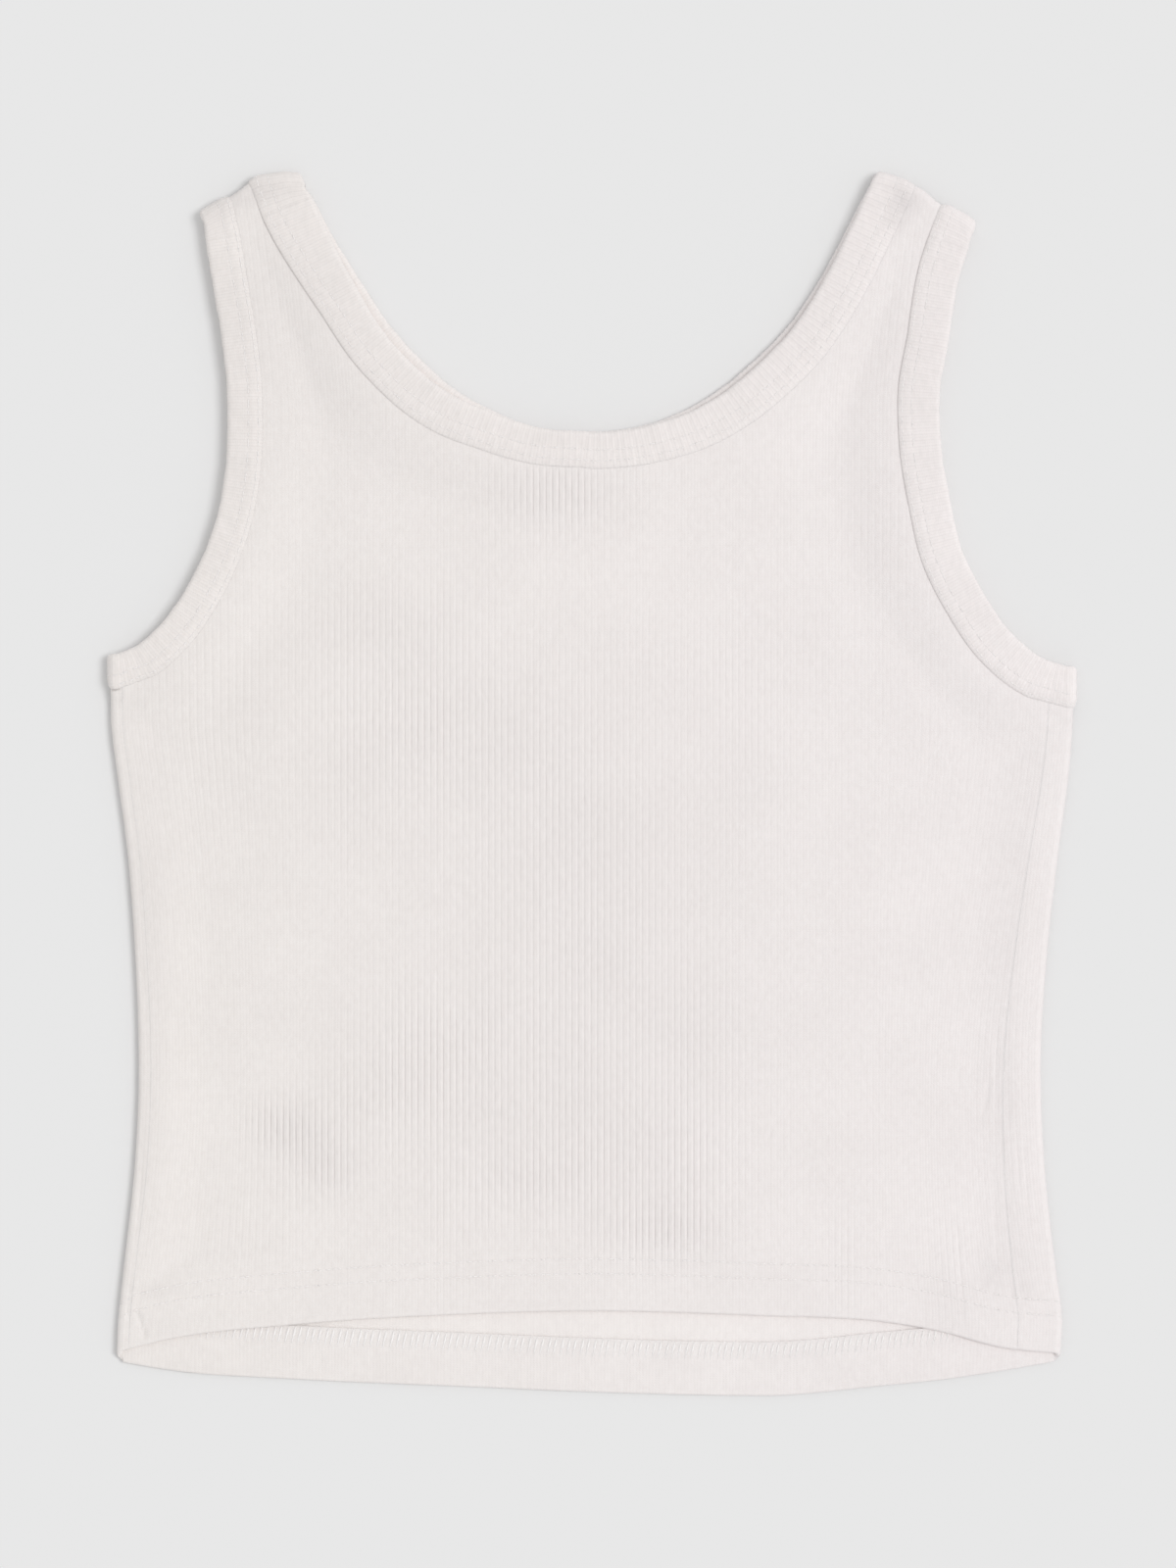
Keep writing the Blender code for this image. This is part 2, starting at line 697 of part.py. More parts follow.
def lean(x, y):
    """How far the ribs lean outwards at a level of the straps."""
    rise = (y - STRAP_LEAN_START) / (STRAP_LEAN_END - STRAP_LEAN_START)
    rise = np.clip(rise, 0.0, STRAP_LEAN_LIMIT)
    outer = 1.0 - falloff(np.abs(x), STRAP_LEAN_INNER, STRAP_LEAN_FULL - STRAP_LEAN_INNER)
    return np.sign(x) * STRAP_LEAN * outer * rise**STRAP_LEAN_CURVE


def rib_path(x, y):
    """The run of the rib that starts at x, bent to follow the side seams and the straps."""
    level = np.minimum(y, RIB_BEND_TOP)
    bend_left = left_seam(level) - left_seam(RIB_BEND_LEVEL)
    bend_right = right_seam(level) - right_seam(RIB_BEND_LEVEL)
    from_left = x - left_seam(RIB_BEND_LEVEL)
    from_right = right_seam(RIB_BEND_LEVEL) - x
    bent = (bend_left * falloff(from_left, 0.0, RIB_BEND_REACH)
            + bend_right * falloff(from_right, 0.0, RIB_BEND_REACH))
    return x + bent + lean(x, y)


def thinned(points, tolerance):
    """Leaves out the points of a line that lie within tolerance of a straight run."""
    keep = np.zeros(len(points), bool)
    keep[[0, -1]] = True
    spans = [(0, len(points) - 1)]
    while spans:
        start, end = spans.pop()
        if end - start < 2:
            continue
        chord = points[end] - points[start]
        middle = points[start + 1:end]
        part = ((middle - points[start]) @ chord) / (chord @ chord)
        away = np.linalg.norm(middle - points[start] - part[:, None] * chord, axis=1)
        worst = int(np.argmax(away))
        if away[worst] > tolerance:
            split = start + 1 + worst
            keep[split] = True
            spans += [(start, split), (split, end)]
    return keep


def rib_column(border, x, rise, tolerance):
    """A rib's crest or valley on the back, from the turn of the hem to a band or a shoulder."""
    bottom = float(back_hem(x)) - HEM_RADIUS * math.pi / 2
    up = np.concatenate(([bottom], even(bottom + 2 * HEM_RADIUS, RIB_TOP, COLUMN_STEP)))
    across = rib_path(np.full(up.shape, x), up)
    up[0] = back_hem(across[0]) - HEM_RADIUS * math.pi / 2
    clear = np.minimum(
        clear_of_bands(UPPER_EDGES, across, up) - RIB_END, -over_shoulder(across, up)[0] - RIB_END
    )
    within = np.minimum(across - left_seam(up), right_seam(up) - across) > RIB_MARGIN
    below_arm = (up > RIB_BEND_TOP) | within
    keep = (clear > 0.0) & below_arm & inside(border, np.stack((across, up), axis=1))
    found = []
    for start, stop in runs(keep):
        if up[stop - 1] - up[start] < RIB_SHORTEST:
            continue
        a, t = across[start:stop], up[start:stop]
        height = rise * np.clip(clear[start:stop] / RIB_FADE, 0.0, 1.0)
        z = upper_height(a, np.maximum(t, back_hem(a))) + height
        chosen = thinned(np.stack((a, t, z), axis=1), tolerance)
        found.append(np.stack((a, t, height), axis=1)[chosen])
    return found


def back_rib_lines(border, every, tolerance):
    half = RIB_PITCH / 2
    reach = int(RIB_REACH / half)
    found = []
    for k in range(-reach, reach + 1, every):
        rise = RIB_HEIGHT if every == 1 and k % 2 == 0 else 0.0
        found += rib_column(border, k * half, rise, tolerance)
    return found


def side_rib_lines(border):
    """Ribs on the part of the front that shows above the right side fold."""
    half = RIB_PITCH / 2
    turn = math.pi * FOLD_RADIUS
    found = []
    for k in range(1, int(SIDE_STRIP_REACH / half)):
        fold = float(front_hem_fold(right_fold(SEAM_FOOT_LEVEL) + turn + k * half))
        above = even(fold + 2 * RIB_END, UNDERARM_LEVEL, SIDE_COLUMN_STEP)
        up = np.concatenate(([fold - HEM_RADIUS * math.pi / 2], above))
        level = np.maximum(up, fold)
        x = right_fold(level) - k * half
        s = right_fold(level) + turn + k * half
        from_seam = x - right_seam(level) - RIB_MARGIN
        clear = np.minimum(clear_of_bands(UPPER_EDGES, x, up) - RIB_END, from_seam)
        keep = (clear > 0.0) & inside(border, np.stack((s, up), axis=1))
        rise = RIB_HEIGHT if k % 2 else 0.0
        for start, stop in runs(keep):
            a, t = s[start:stop], up[start:stop]
            height = rise * np.clip(clear[start:stop] / RIB_FADE, 0.0, 1.0)
            z = upper_height(x[start:stop], level[start:stop]) + height
            if len(a) > 2:
                chosen = thinned(np.stack((x[start:stop], t, z), axis=1), COLUMN_TOLERANCE)
                found.append(np.stack((a, t, height), axis=1)[chosen])
    return found


def hem_rib_lines():
    """Ribs on the front's turned-up hem, where it shows below the back's."""
    half = RIB_PITCH / 2
    first, last = (int(edge / half) for edge in HEM_RIBS)
    found = []
    for k in range(first, last + 1):
        top = float(front_hem_fold(k * half)) - math.pi * HEM_RADIUS
        rise = RIB_HEIGHT if k % 2 == 0 else 0.0
        ends = (top - RIB_END, top - HEM_DEPTH + HEM_RIB_END)
        found.append(np.array([(k * half, end, rise) for end in ends]))
    return found


# Walls

def triangulate(border, lines):
    """Triangles inside a border, with an edge along every line."""
    spots = [Vector(point) for point in border]
    rises = [0.0] * len(border)
    edges = []
    for line in lines:
        first = len(spots)
        spots += [Vector(row[:2]) for row in line]
        rises += [row[2] for row in line]
        edges += [(k, k + 1) for k in range(first, len(spots) - 1)]
    loop = list(range(len(border)))
    plan, _, faces, sources, _, _ = delaunay_2d_cdt(spots, edges, [loop], 1, MERGE_DISTANCE)
    rise = np.array([max((rises[k] for k in source), default=0.0) for source in sources])
    place = {k: index for index, source in enumerate(sources) for k in source}
    return np.array([tuple(spot) for spot in plan]), rise, faces, [place[k] for k in loop]


def wall(name, border, outer_lines, inner_lines, place, material):
    """One closed wall: an outer and an inner face over the same border, joined round its rim."""
    vertices, faces, rims = [], [], []
    for lines, way in ((outer_lines, 1.0), (inner_lines, -1.0)):
        plan, rise, triangles, rim = triangulate(border, lines)
        first = len(vertices)
        placed = place(plan[:, 0], plan[:, 1], way * WALL / 2 + rise)
        vertices += list(placed.T)
        faces += [[first + k for k in triangle] for triangle in triangles]
        rims.append([first + k for k in rim])
    outer, inner = rims
    for k in range(len(outer)):
        after = (k + 1) % len(outer)
        faces.append([outer[k], outer[after], inner[after], inner[k]])
    return make_object(name, vertices, faces, material)


def make_object(name, vertices, faces, material):
    shape = bmesh.new()
    made = [shape.verts.new(Vector(vertex) * MM) for vertex in vertices]
    for face in faces:
        shape.faces.new([made[k] for k in face])
    bmesh.ops.triangulate(shape, faces=shape.faces[:])
    bmesh.ops.recalc_face_normals(shape, faces=shape.faces[:])
    mesh = bpy.data.meshes.new(name)
    shape.to_mesh(mesh)
    shape.free()
    mesh.shade_smooth()
    mesh.materials.append(material)
    item = bpy.data.objects.new(name, mesh)
    bpy.data.collections[GARMENT].objects.link(item)
    return item


def back_side_lines(border):
    """Lines down the back just inside each side fold, where it rises to meet the fold."""
    levels = even(HEM_CORNER_LEVEL, UNDERARM_LEVEL, 2 * BORDER_STEP)
    found = []
    for fold, way in ((left_fold, 1.0), (right_fold, -1.0)):
        for k in range(1, RAMP_STEPS + 1):
            inward = SIDE_HOLD + SIDE_RAMP * k / RAMP_STEPS
            found += kept_lines(border, np.stack((fold(levels) + way * inward, levels), axis=1))
    return found


def build_back(material):
    border = back_border()
    start, stop = border[0][0], float(right_seam(SEAM_FOOT_LEVEL))
    turn = hem_lines(border, back_hem, start, stop, BORDER_STEP, HEM_TURN[2:])
    over = shoulder_lines(border, BORDER_STEP / 2)
    ribs = back_rib_lines(border, 1, COLUMN_TOLERANCE)
    plain = back_rib_lines(border, PLAIN_EVERY, PLAIN_TOLERANCE)
    gaps = [BAND_CLEARANCE + UPPER_RAMP * k / RAMP_STEPS for k in range(RAMP_STEPS + 1)]
    plain += contour_lines(border, UPPER_EDGES, gaps[:1], CONTOUR_SLACK / 3)
    plain += contour_lines(border, UPPER_EDGES, gaps[1:], CONTOUR_SLACK)
    plain += back_side_lines(border)
    return wall("back_panel", border, ribs + over + turn, plain + over + turn, place_back, material)


def side_fold_lines(border):
    """Lines down the bend of each side fold, with a point at each step of the underarm band."""
    found = []
    for line, fold, way in ((arm_left, left_fold, -1.0), (arm_right, right_fold, 1.0)):
        band_edge = line.points[-1, 1] - line.width[-1] - BAND_CLEARANCE
        ramp = [band_edge - LOWER_RAMP * k / 2 for k in range(3)]
        below = even(SEAM_FOOT_LEVEL + 1.5 * HEM_HOLD, ramp[-1] - BORDER_STEP, 2 * BORDER_STEP)
        levels = np.array([*below, *ramp[::-1], (band_edge + line.points[-1, 1]) / 2])
        for k in range(FOLD_STEPS + 1):
            past = math.pi * FOLD_RADIUS * k / FOLD_STEPS
            found += kept_lines(border, np.stack((fold(levels) + way * past, levels), axis=1))
    return found


def strip_contours(border):
    """Lines beside the underarm bands on the part of the front that lies above the side folds."""
    found = []
    for line, fold, way in ((arm_left, left_fold, -1.0), (arm_right, right_fold, 1.0)):
        points, normals = line.at(even(line.length / 2, line.length, STATION_STEP / 2))
        for gap in (BAND_CLEARANCE, BAND_CLEARANCE + UPPER_RAMP / 2):
            x, y = points + normals * (line.width[-1] + gap)
            s = fold(y) + way * (math.pi * FOLD_RADIUS + way * (fold(y) - x))
            found += kept_lines(border, np.stack((s, y), axis=1))
    return found


def build_front(material):
    border = front_border()
    gaps = (BAND_CLEARANCE, BAND_CLEARANCE + LOWER_RAMP / 2, BAND_CLEARANCE + LOWER_RAMP)
    shared = contour_lines(border, LOWER_EDGES, gaps, CONTOUR_SLACK / 3)
    shared += shoulder_lines(border, BORDER_STEP / 2)
    shared += side_fold_lines(border) + strip_contours(border)
    for offset in (HEM_TURN[-1] - HEM_DEPTH / 2, *HEM_TURN, HEM_HOLD, HEM_HOLD + HEM_RAMP):
        shared += kept_lines(border, front_row(offset))
    outer = shared + side_rib_lines(border) + hem_rib_lines()
    return wall("front_panel", border, outer, shared, place_front, material)


# Bands

def band_profile(width):
    """The section of a band: distance in from the free edge, and height from its middle."""
    return (
        (width, BAND_HALF), (BAND_ROUND, BAND_HALF), (0.0, BAND_HALF - BAND_ROUND),
        (0.0, BAND_ROUND - BAND_HALF), (BAND_ROUND, -BAND_HALF), (width, -BAND_HALF),
        (width, WALL - BAND_HALF), (WALL, WALL - BAND_HALF),
        (WALL, BAND_HALF - WALL), (width, BAND_HALF - WALL),
    )


def flat_section(line, along, up):
    """A section of a band on one layer: up is +1 on the upper layer and -1 on the lower."""
    point, normal = line.at(np.array([along]))
    width = float(np.interp(along, line.along, line.width))
    middle = UPPER_BAND if up > 0 else LOWER_BAND
    return [
        (*(point + inset * normal)[:, 0], middle + up * height)
        for inset, height in band_profile(width)
    ]


def fold_section(foot, angle, width):
    """A section of a band at an angle round a fold: 0 is on top and pi is underneath."""
    middle = (UPPER_BAND + LOWER_BAND) / 2
    section = []
    for inset, height in band_profile(width):
        point, out = foot(inset)
        radius = FOLD_RADIUS + height
        section.append((*(point + out * radius * math.sin(angle)), middle + radius * math.cos(angle)))
    return section


def shoulder_foot(shoulder, from_neck):
    """Places on a shoulder line, counted from the end where a band's free edge is."""
    def foot(inset):
        along = shoulder.length - inset if from_neck else inset
        point, out = shoulder.at(np.array([along]))
        return point[:, 0], out[:, 0]
    return foot


def underarm_foot(line, way):
    corner = line.points[-1]
    return lambda inset: (corner - np.array((0.0, inset)), np.array((way, 0.0)))


FOLD_ANGLES = [math.pi * k / FOLD_STEPS for k in range(FOLD_STEPS + 1)]


def armhole_sections(line, shoulder, way):
    down = stations(line)
    sections = [flat_section(line, along, 1.0) for along in down]
    under = underarm_foot(line, way)
    sections += [fold_section(under, angle, line.width[-1]) for angle in FOLD_ANGLES]
    sections += [flat_section(line, along, -1.0) for along in down[::-1]]
    over = shoulder_foot(shoulder, False)
    sections += [fold_section(over, angle, line.width[0]) for angle in FOLD_ANGLES[::-1]]
    return sections


def neck_sections():
    sections = [flat_section(neck_back, along, 1.0) for along in stations(neck_back)]
    right, left = shoulder_foot(shoulder_right, True), shoulder_foot(shoulder_left, True)
    sections += [fold_section(right, angle, neck_back.width[-1]) for angle in FOLD_ANGLES]
    sections += [flat_section(neck_front, along, -1.0) for along in stations(neck_front)[::-1]]
    sections += [fold_section(left, angle, neck_front.width[0]) for angle in FOLD_ANGLES[::-1]]
    return sections


def band(name, sections, material):
    """A closed loop through its sections."""
    size = len(sections[0])
    vertices = [vertex for section in sections for vertex in section]
    faces = []
    for k in range(len(sections)):
        here, there = k * size, (k + 1) % len(sections) * size
        for j in range(size):
            after = (j + 1) % size
            faces.append([here + j, there + j, there + after, here + after])
    return make_object(name, vertices, faces, material)


def centre_on_box(items):
    """Moves the garment so that the middle of its box's underside is the origin."""
    spots = np.array([vertex.co for item in items for vertex in item.data.vertices])
    low, high = spots.min(axis=0), spots.max(axis=0)
    middle = (low + high) / 2
    for item in items:
        item.data.transform(Matrix.Translation((-middle[0], -middle[1], -low[2])))


def make_material(name, colour):
    material = bpy.data.materials.new(name)
    material.use_nodes = True
    shader = material.node_tree.nodes["Principled BSDF"]
    shader.inputs["Base Color"].default_value = colour
    shader.inputs["Roughness"].default_value = CLOTH_ROUGHNESS
    shader.inputs["Metallic"].default_value = 0.0
    return material


def main():
    for item in list(bpy.data.objects):
        bpy.data.objects.remove(item, do_unlink=True)
    garment = bpy.data.collections.new(GARMENT)
    bpy.context.scene.collection.children.link(garment)
    cloth = make_material("rib_knit", CLOTH_COLOUR)
    binding = make_material("rib_band", BAND_COLOUR)
    left_loop = armhole_sections(arm_left, shoulder_left, -1.0)
    right_loop = armhole_sections(arm_right, shoulder_right, 1.0)
    centre_on_box([
        build_back(cloth),
        build_front(cloth),
        band("neck_binding", neck_sections(), binding),
        band("armhole_binding_left", left_loop, binding),
        band("armhole_binding_right", right_loop, binding),
    ])


main()
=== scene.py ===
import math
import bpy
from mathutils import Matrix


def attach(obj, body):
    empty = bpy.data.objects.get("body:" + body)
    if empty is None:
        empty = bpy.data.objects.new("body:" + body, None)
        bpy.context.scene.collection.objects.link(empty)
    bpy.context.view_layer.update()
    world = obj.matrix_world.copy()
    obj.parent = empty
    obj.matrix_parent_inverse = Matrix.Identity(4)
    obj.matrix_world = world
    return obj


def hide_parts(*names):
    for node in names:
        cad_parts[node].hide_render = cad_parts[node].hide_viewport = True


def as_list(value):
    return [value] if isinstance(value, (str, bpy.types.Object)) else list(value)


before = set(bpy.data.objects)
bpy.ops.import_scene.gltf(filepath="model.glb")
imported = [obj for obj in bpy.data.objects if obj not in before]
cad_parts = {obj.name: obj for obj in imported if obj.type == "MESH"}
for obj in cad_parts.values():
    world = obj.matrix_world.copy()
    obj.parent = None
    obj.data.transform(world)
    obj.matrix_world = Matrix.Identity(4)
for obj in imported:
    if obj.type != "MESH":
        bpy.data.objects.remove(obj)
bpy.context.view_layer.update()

# A ribbed cotton tank top, laid flat with its back uppermost: its cloth, sewing, floor and light.
# Lengths are in millimetres until the meshes are made. Each panel is one wall of rib knit, drawn in
# its own pattern plane and placed on the garment's form, as the frame's solids are.

from types import SimpleNamespace

import bmesh
import bpy
import numpy as np
from mathutils import Vector
from mathutils.geometry import delaunay_2d_cdt

MM = 0.001

# Middle of the garment where the tables draw it, which is moved to the frame's origin
BOX_CENTRE = (0.40, -0.59, 0.0)

# Cloth
WALL = 1.0
SEAM_GAP = 0.3
CLOSED_SEAM = 0.004
RIB_PITCH = 2.4
RIB_HEIGHT = 0.2
RIB_PROFILE = ((0.0, 0.0), (0.17, 0.9), (0.5, 0.84), (0.83, 0.9))
RIB_CALM = 0.15
UNEVEN_TURNS = (2.39996, 4.13)
RIB_WAVER = ((11.7, 0.16, UNEVEN_TURNS[0]), (5.9, 0.10, UNEVEN_TURNS[1]))
HEM_CALM = 0.35

# Bands, folded over the raw edge of a panel
BAND_HALF = 1.5 * WALL + SEAM_GAP
ARM_WIDTHS = (13.2, 15.6)
NECK_SIDE_WIDTH = 16.0
NECK_MIDDLE_WIDTH = 13.6
NECK_TOP_WIDER = 4.2
NECK_TOP_RISE = (172.0, 50.0)
NECK_MIDDLE_REACH = 45.0
RAW_EDGE_INSET = WALL + SEAM_GAP
END_GAP = 8.0
BAND_RIB_PITCH = 2.3
BAND_RIB_HEIGHT = 0.12
BAND_RIB_STEPS = 4

# Section of a band: its outer lip, the cloth beside its needle rows, and which points lie on top
BAND_LIP = ((0.0, -0.58, 0.0), (0.25, -0.34, 0.2), (0.9, -0.08, 0.7))
ROW_SIDE = 0.02
ROW_RELIEF = 0.6
UNDER_RELIEF = 0.5
PILLOW = 0.12
EDGE_DROP = 0.74
EDGE_RUN = 4.0
EDGE_LIP = 0.42
ROUND_STEPS = 10
SAMPLE_WIDTH = 20.0
UP_POINT = 6
LENGTH_POINT = 9
TOP_POINTS = 12

# Folds
FOLD_RADIUS = BAND_HALF + SEAM_GAP / 2
HEM_RADIUS = (WALL + SEAM_GAP) / 2
HEM_DEPTH = 19.0
FOLD_STEPS = 8
FOLD_TURN = math.pi * FOLD_RADIUS
HEM_BEND = math.pi * HEM_RADIUS
FOLD_ANGLES = [math.pi * k / FOLD_STEPS for k in range(FOLD_STEPS + 1)]
FOLD_TURNS = [FOLD_TURN * k / FOLD_STEPS for k in range(FOLD_STEPS + 1)]
HEM_TURNS = [-HEM_BEND * k / FOLD_STEPS for k in range(FOLD_STEPS + 1)]
HEM_SHIFT = HEM_RADIUS + WALL / 2
FOLD_SHIFT = FOLD_RADIUS + WALL / 2
SHOULDER_END = math.pi / 2 - CLOSED_SEAM / 2 / FOLD_RADIUS

# Heights of the middle of each wall above the surface below
LOWER_FIELD = WALL / 2
LOWER_BAND = BAND_HALF
UPPER_FIELD = LOWER_FIELD + WALL + SEAM_GAP
UPPER_BAND = LOWER_BAND + 2 * FOLD_RADIUS
HEM_LIFT = WALL + SEAM_GAP

# How far each rise of the cloth reaches beyond what lifts it
BAND_CLEARANCE = 0.45
LOWER_RAMP = 4.0
UPPER_RAMP = 28.0
SIDE_RAMP = 26.0
SIDE_HOLD = 0.8
SHOULDER_HOLD = 4.0
SHOULDER_RAMP = 6.0
HEM_HOLD = 20.6
HEM_RAMP = 9.0
HEM_CORNER_LEVEL = -216.0
SEAM_FOOT_LEVEL = -210.0
CORNER_LEFT = (-140.0, 38.0)
CORNER_RIGHT = (146.0, 26.0)
MEET_SOFT = 2.0

# Rounded corners at the strap tops: radius at each end of the left and the right shoulder fold
CORNER_ROUNDS = ((1.4, 5.2), (3.4, 3.2))
CORNER_RUN = 13.0
CORNER_REACH = 3 * CORNER_RUN

# Sewing: needle rows from the inner edge of each band and above the fold of each hem
ARM_ROWS = (1.5, 5.2)
NECK_ROWS = (2.9, 7.0)
HEM_ROWS = (12.8, 18.4)
STITCH_PITCH = 2.5
STITCH_SPAN = 0.8
STITCH_JITTER = 0.24
THREAD_SIDES = 5
THREAD_RADIUS = 0.19
THREAD_RISE = 0.11
THREAD_SINK = 0.18
STITCH_PARTS = np.array((0.0, 0.14, 0.5, 0.86, 1.0))
STITCH_BEND = 0.6 * THREAD_RISE
STITCH_DEPTHS = np.array((-THREAD_SINK, STITCH_BEND, THREAD_RISE, STITCH_BEND, -THREAD_SINK))
DITCH = 0.07
DITCH_HALF = 0.6
HEM_DITCH = 0.40
SEAM_END = 1.5
SEAM_FOOT_POINTS = 4
HEM_PATH_STEP = 0.8

# Looper threads on the inside of the front's hem, and its raw edge
LOOPER_RANGE = (-166.0, 158.0)
RUNG_PITCH = 2.45
RUNG_SLANT = 1.5
RUNG_REACH = 0.35
RUNG_RISE = -0.26
RUNG_SINK = 0.14
RUNG_RADIUS = 0.50
RUNG_FADE = ((-60.0, 0.0), (40.0, -0.07))
RUNG_JITTER = (0.08, 0.12)
RUNG_RINGS = 6
RAW_THIN = 0.60
RAW_RUN = 3.0

# How the ribs follow the cut, and where they end
RIB_BEND_REACH = 62.0
RIB_BEND_LEVEL = -60.0
RIB_BEND_TOP = 30.0
RIB_TURNS = 4
STRAP_LEAN_START = 140.0
STRAP_LEAN_END = 222.0
STRAP_LEAN = 8.5
STRAP_LEAN_INNER = 28.0
STRAP_LEAN_FULL = 70.0
STRAP_LEAN_LIMIT = 1.2
STRAP_LEAN_CURVE = 1.3
RIB_FADE = 1.3
FADE_SLACK = 0.05
RIB_END = 0.4
RIB_MARGIN = 0.4
RIB_REACH = 190.0
RIB_LENGTH = 444.0
CREASE_TAPER = 0.7
# Painted shade on the rim of the right side fold, where the light from the right falls brightest
RIM_SHADE = 0.13

# Fineness of the meshes
EDGE_STEP = 2.0
BORDER_STEP = 4.0
BAND_SEARCH = 24.0
STATION_STEP = 2.0
ROW_STEP = 4.0
UNDER_ROW_STEP = 7.0
PLAIN_ROW_STEP = 9.0
PLAIN_PITCH = 9.0
RAMP_STEPS = 4
LINE_MARGIN = 0.5
CORNER_MARGIN = 1.0
SIDE_MARGIN = 3.0
SLOPE_STEP = 0.5
CONTOUR_SLACK = 0.3
MERGE_DISTANCE = 1e-4
LEAST_SIZE = 1e-9
SHARP_ANGLE = math.radians(55.0)

# Grid of distances to the bands over the plan, and how far short of its end a place stays
PLAN_LOW = (-186.0, -236.0)
PLAN_HIGH = (186.0, 234.0)
PLAN_STEP = 1.5
LAST_CELL = 1.001

# Colours
CLOTH_TONES = ((0.871, 0.830, 0.816, 1.0), (0.818, 0.777, 0.763, 1.0))
BAND_TONES = ((0.888, 0.840, 0.824, 1.0), (0.818, 0.777, 0.761, 1.0))
# Painted light: a lighter copy of the cloth's tones for the front's inner face, against the shade inside
# the hem
INSIDE_LIT_TONES = ((0.900, 0.858, 0.840, 1.0), (0.846, 0.804, 0.788, 1.0))
THREAD_TONES = ((0.890, 0.855, 0.842, 1.0), (0.945, 0.915, 0.905, 1.0))
# Painted light: the cloth is tinted darker and warmer to the left and lighter and cooler to the right,
# where the light comes from, over CAST_REACH each side of the middle
SIDE_LIGHT_CASTS = ((0.992, 0.996, 0.985, 1.0), (1.018, 1.016, 1.027, 1.0))
CAST_REACH = 0.15
# Grey that the painted shade in the rib grooves and the patches of painted shade and greyer tone mix
# towards
SHADE_AND_TONE_COLOUR = (0.38, 0.36, 0.37, 1.0)

# Surfaces, in metres: the knit's V stitches and fuzz as bump, and how uneven its tone is
CLOTH_SURFACE = {
    "Roughness": 0.92, "Specular IOR Level": 0.2, "Sheen Weight": 0.12, "Sheen Roughness": 0.5,
    "Subsurface Weight": 0.4, "Subsurface Scale": 0.0006, "Subsurface Radius": (1.0, 1.0, 1.0),
}
GROUND_SURFACE = {
    "Base Color": (0.80, 0.80, 0.80, 1.0), "Roughness": 1.0, "Specular IOR Level": 0.0,
}
WALES = 2.0
STITCH_HEIGHT = 0.85
STITCH_SLANT = 0.5
STITCH_RELIEF = 0.35
STITCH_BUMP = (0.35, 0.00012)
FUZZ_NOISE = (700.0, 4.0)
FUZZ_BUMP = (0.5, 0.00012)
CLOUD_NOISE = (28.0, 3.0)
CLOUD_RANGE = (0.35, 0.65, 0.0, 0.35)
SPECK_NOISE = (620.0, 3.0)
SPECK_RANGE = (0.3, 0.7, 0.0, 0.65)
STREAK = (1.0, 0.45, 1.0)
# Painted shade in the groove between ribs and down the shallow dip in each rib's middle, scaled by the
# relief; BAND_RELIEF is that relief on the bands
GROOVE_HALF = 0.16
GROOVE_SHADE = 0.11
MID_DIP_SHADE = 0.4
BAND_RELIEF = 0.8
TWIST_SCALE = 900.0
TWIST_BUMP = (0.3, 0.00005)

# Floor, light and camera, in metres
GROUND_HALF = 4.0
GROUND_DROP = 0.0001
SKY_COLOUR = (1.0, 1.0, 1.0, 1.0)
SKY_STRENGTH = 0.70
SUN_STRENGTH = 1.12
SUN_SPREAD = math.radians(25.0)
SUN_FROM = (0.50, 0.08, 0.862)
CAMERA_SENSOR = 36.0
CAMERA_HEIGHT = 2.4
FRAME_HEIGHT = 0.5872
CAMERA_SPOT = (-0.0015, -0.0005, CAMERA_HEIGHT)

# Side silhouette: up, left edge, right edge, left seam inset, right seam inset
SIDES = (
    (60, -179.6, 180.4, 4.6, 9), (24, -179.6, 180.4, 4.6, 9.5), (4, -177.4, 179, 4.6, 10),
    (-25, -173.6, 175.2, 4.6, 10.8), (-62, -170.7, 171, 4.6, 12.2), (-107.5, -169.2, 168.4, 4.8, 14),
    (-144, -170.7, 169.8, 4.8, 15.2), (-181, -174.7, 173.8, 4.6, 16.2), (-203, -177, 176.4, 4.6, 16.5),
    (-220, -177.6, 175.2, 4.6, 16.5),
)

# Hems: across, up of the back's hem, up of the front's hem
HEMS = (
    (-182, -214.6, -216.4), (-155, -208.1, -220.9), (-111, -203.3, -223.9), (-45, -199.3, -226.8),
    (0.0, -198.2, -228.7), (65, -200, -230.1), (109, -202.2, -226.4), (131, -205.9, -224.2),
    (153, -211.6, -220.9), (182, -214.5, -215.8),
)

# Free edge of each armhole, shoulder to underarm: across, up
LEFT_ARMHOLE = (
    (-145.2, 209.5), (-141.6, 187), (-138, 165), (-135.9, 142), (-136.3, 120), (-139.5, 100),
    (-148.5, 77), (-160.5, 59), (-170, 50.4), (-174.6, 47.9), (-177.15, 47.5),
)
RIGHT_ARMHOLE = (
    (143.5, 206), (137.6, 188), (133.6, 164), (130.2, 142), (131, 124), (134.2, 105), (138.8, 86),
    (146.6, 70.5), (157, 55.5), (168.5, 46.2), (175.2, 43.3), (177.95, 43),
)

# Neck opening: up, left edge, right edge, how far the back's edge lies inside on each side
NECK = (
    (225.3, -107.2, 105.3, 0.0, 0.0), (208, -98.8, 96.5, 0.8, 0.8), (186, -85.5, 84.6, 2.6, 1.4),
    (170, -74.8, 73.6, 3.4, 1.8), (157, -62.9, 60.8, 3.5, 2), (146, -50.1, 47.4, 2.4, 1.9),
    (138.5, -36.4, 34.6, 0.8, 1.4), (133.6, -25, 21.8, 0.0, 0.6),
)
NECK_BOTTOM = (-1.8, 130.8)

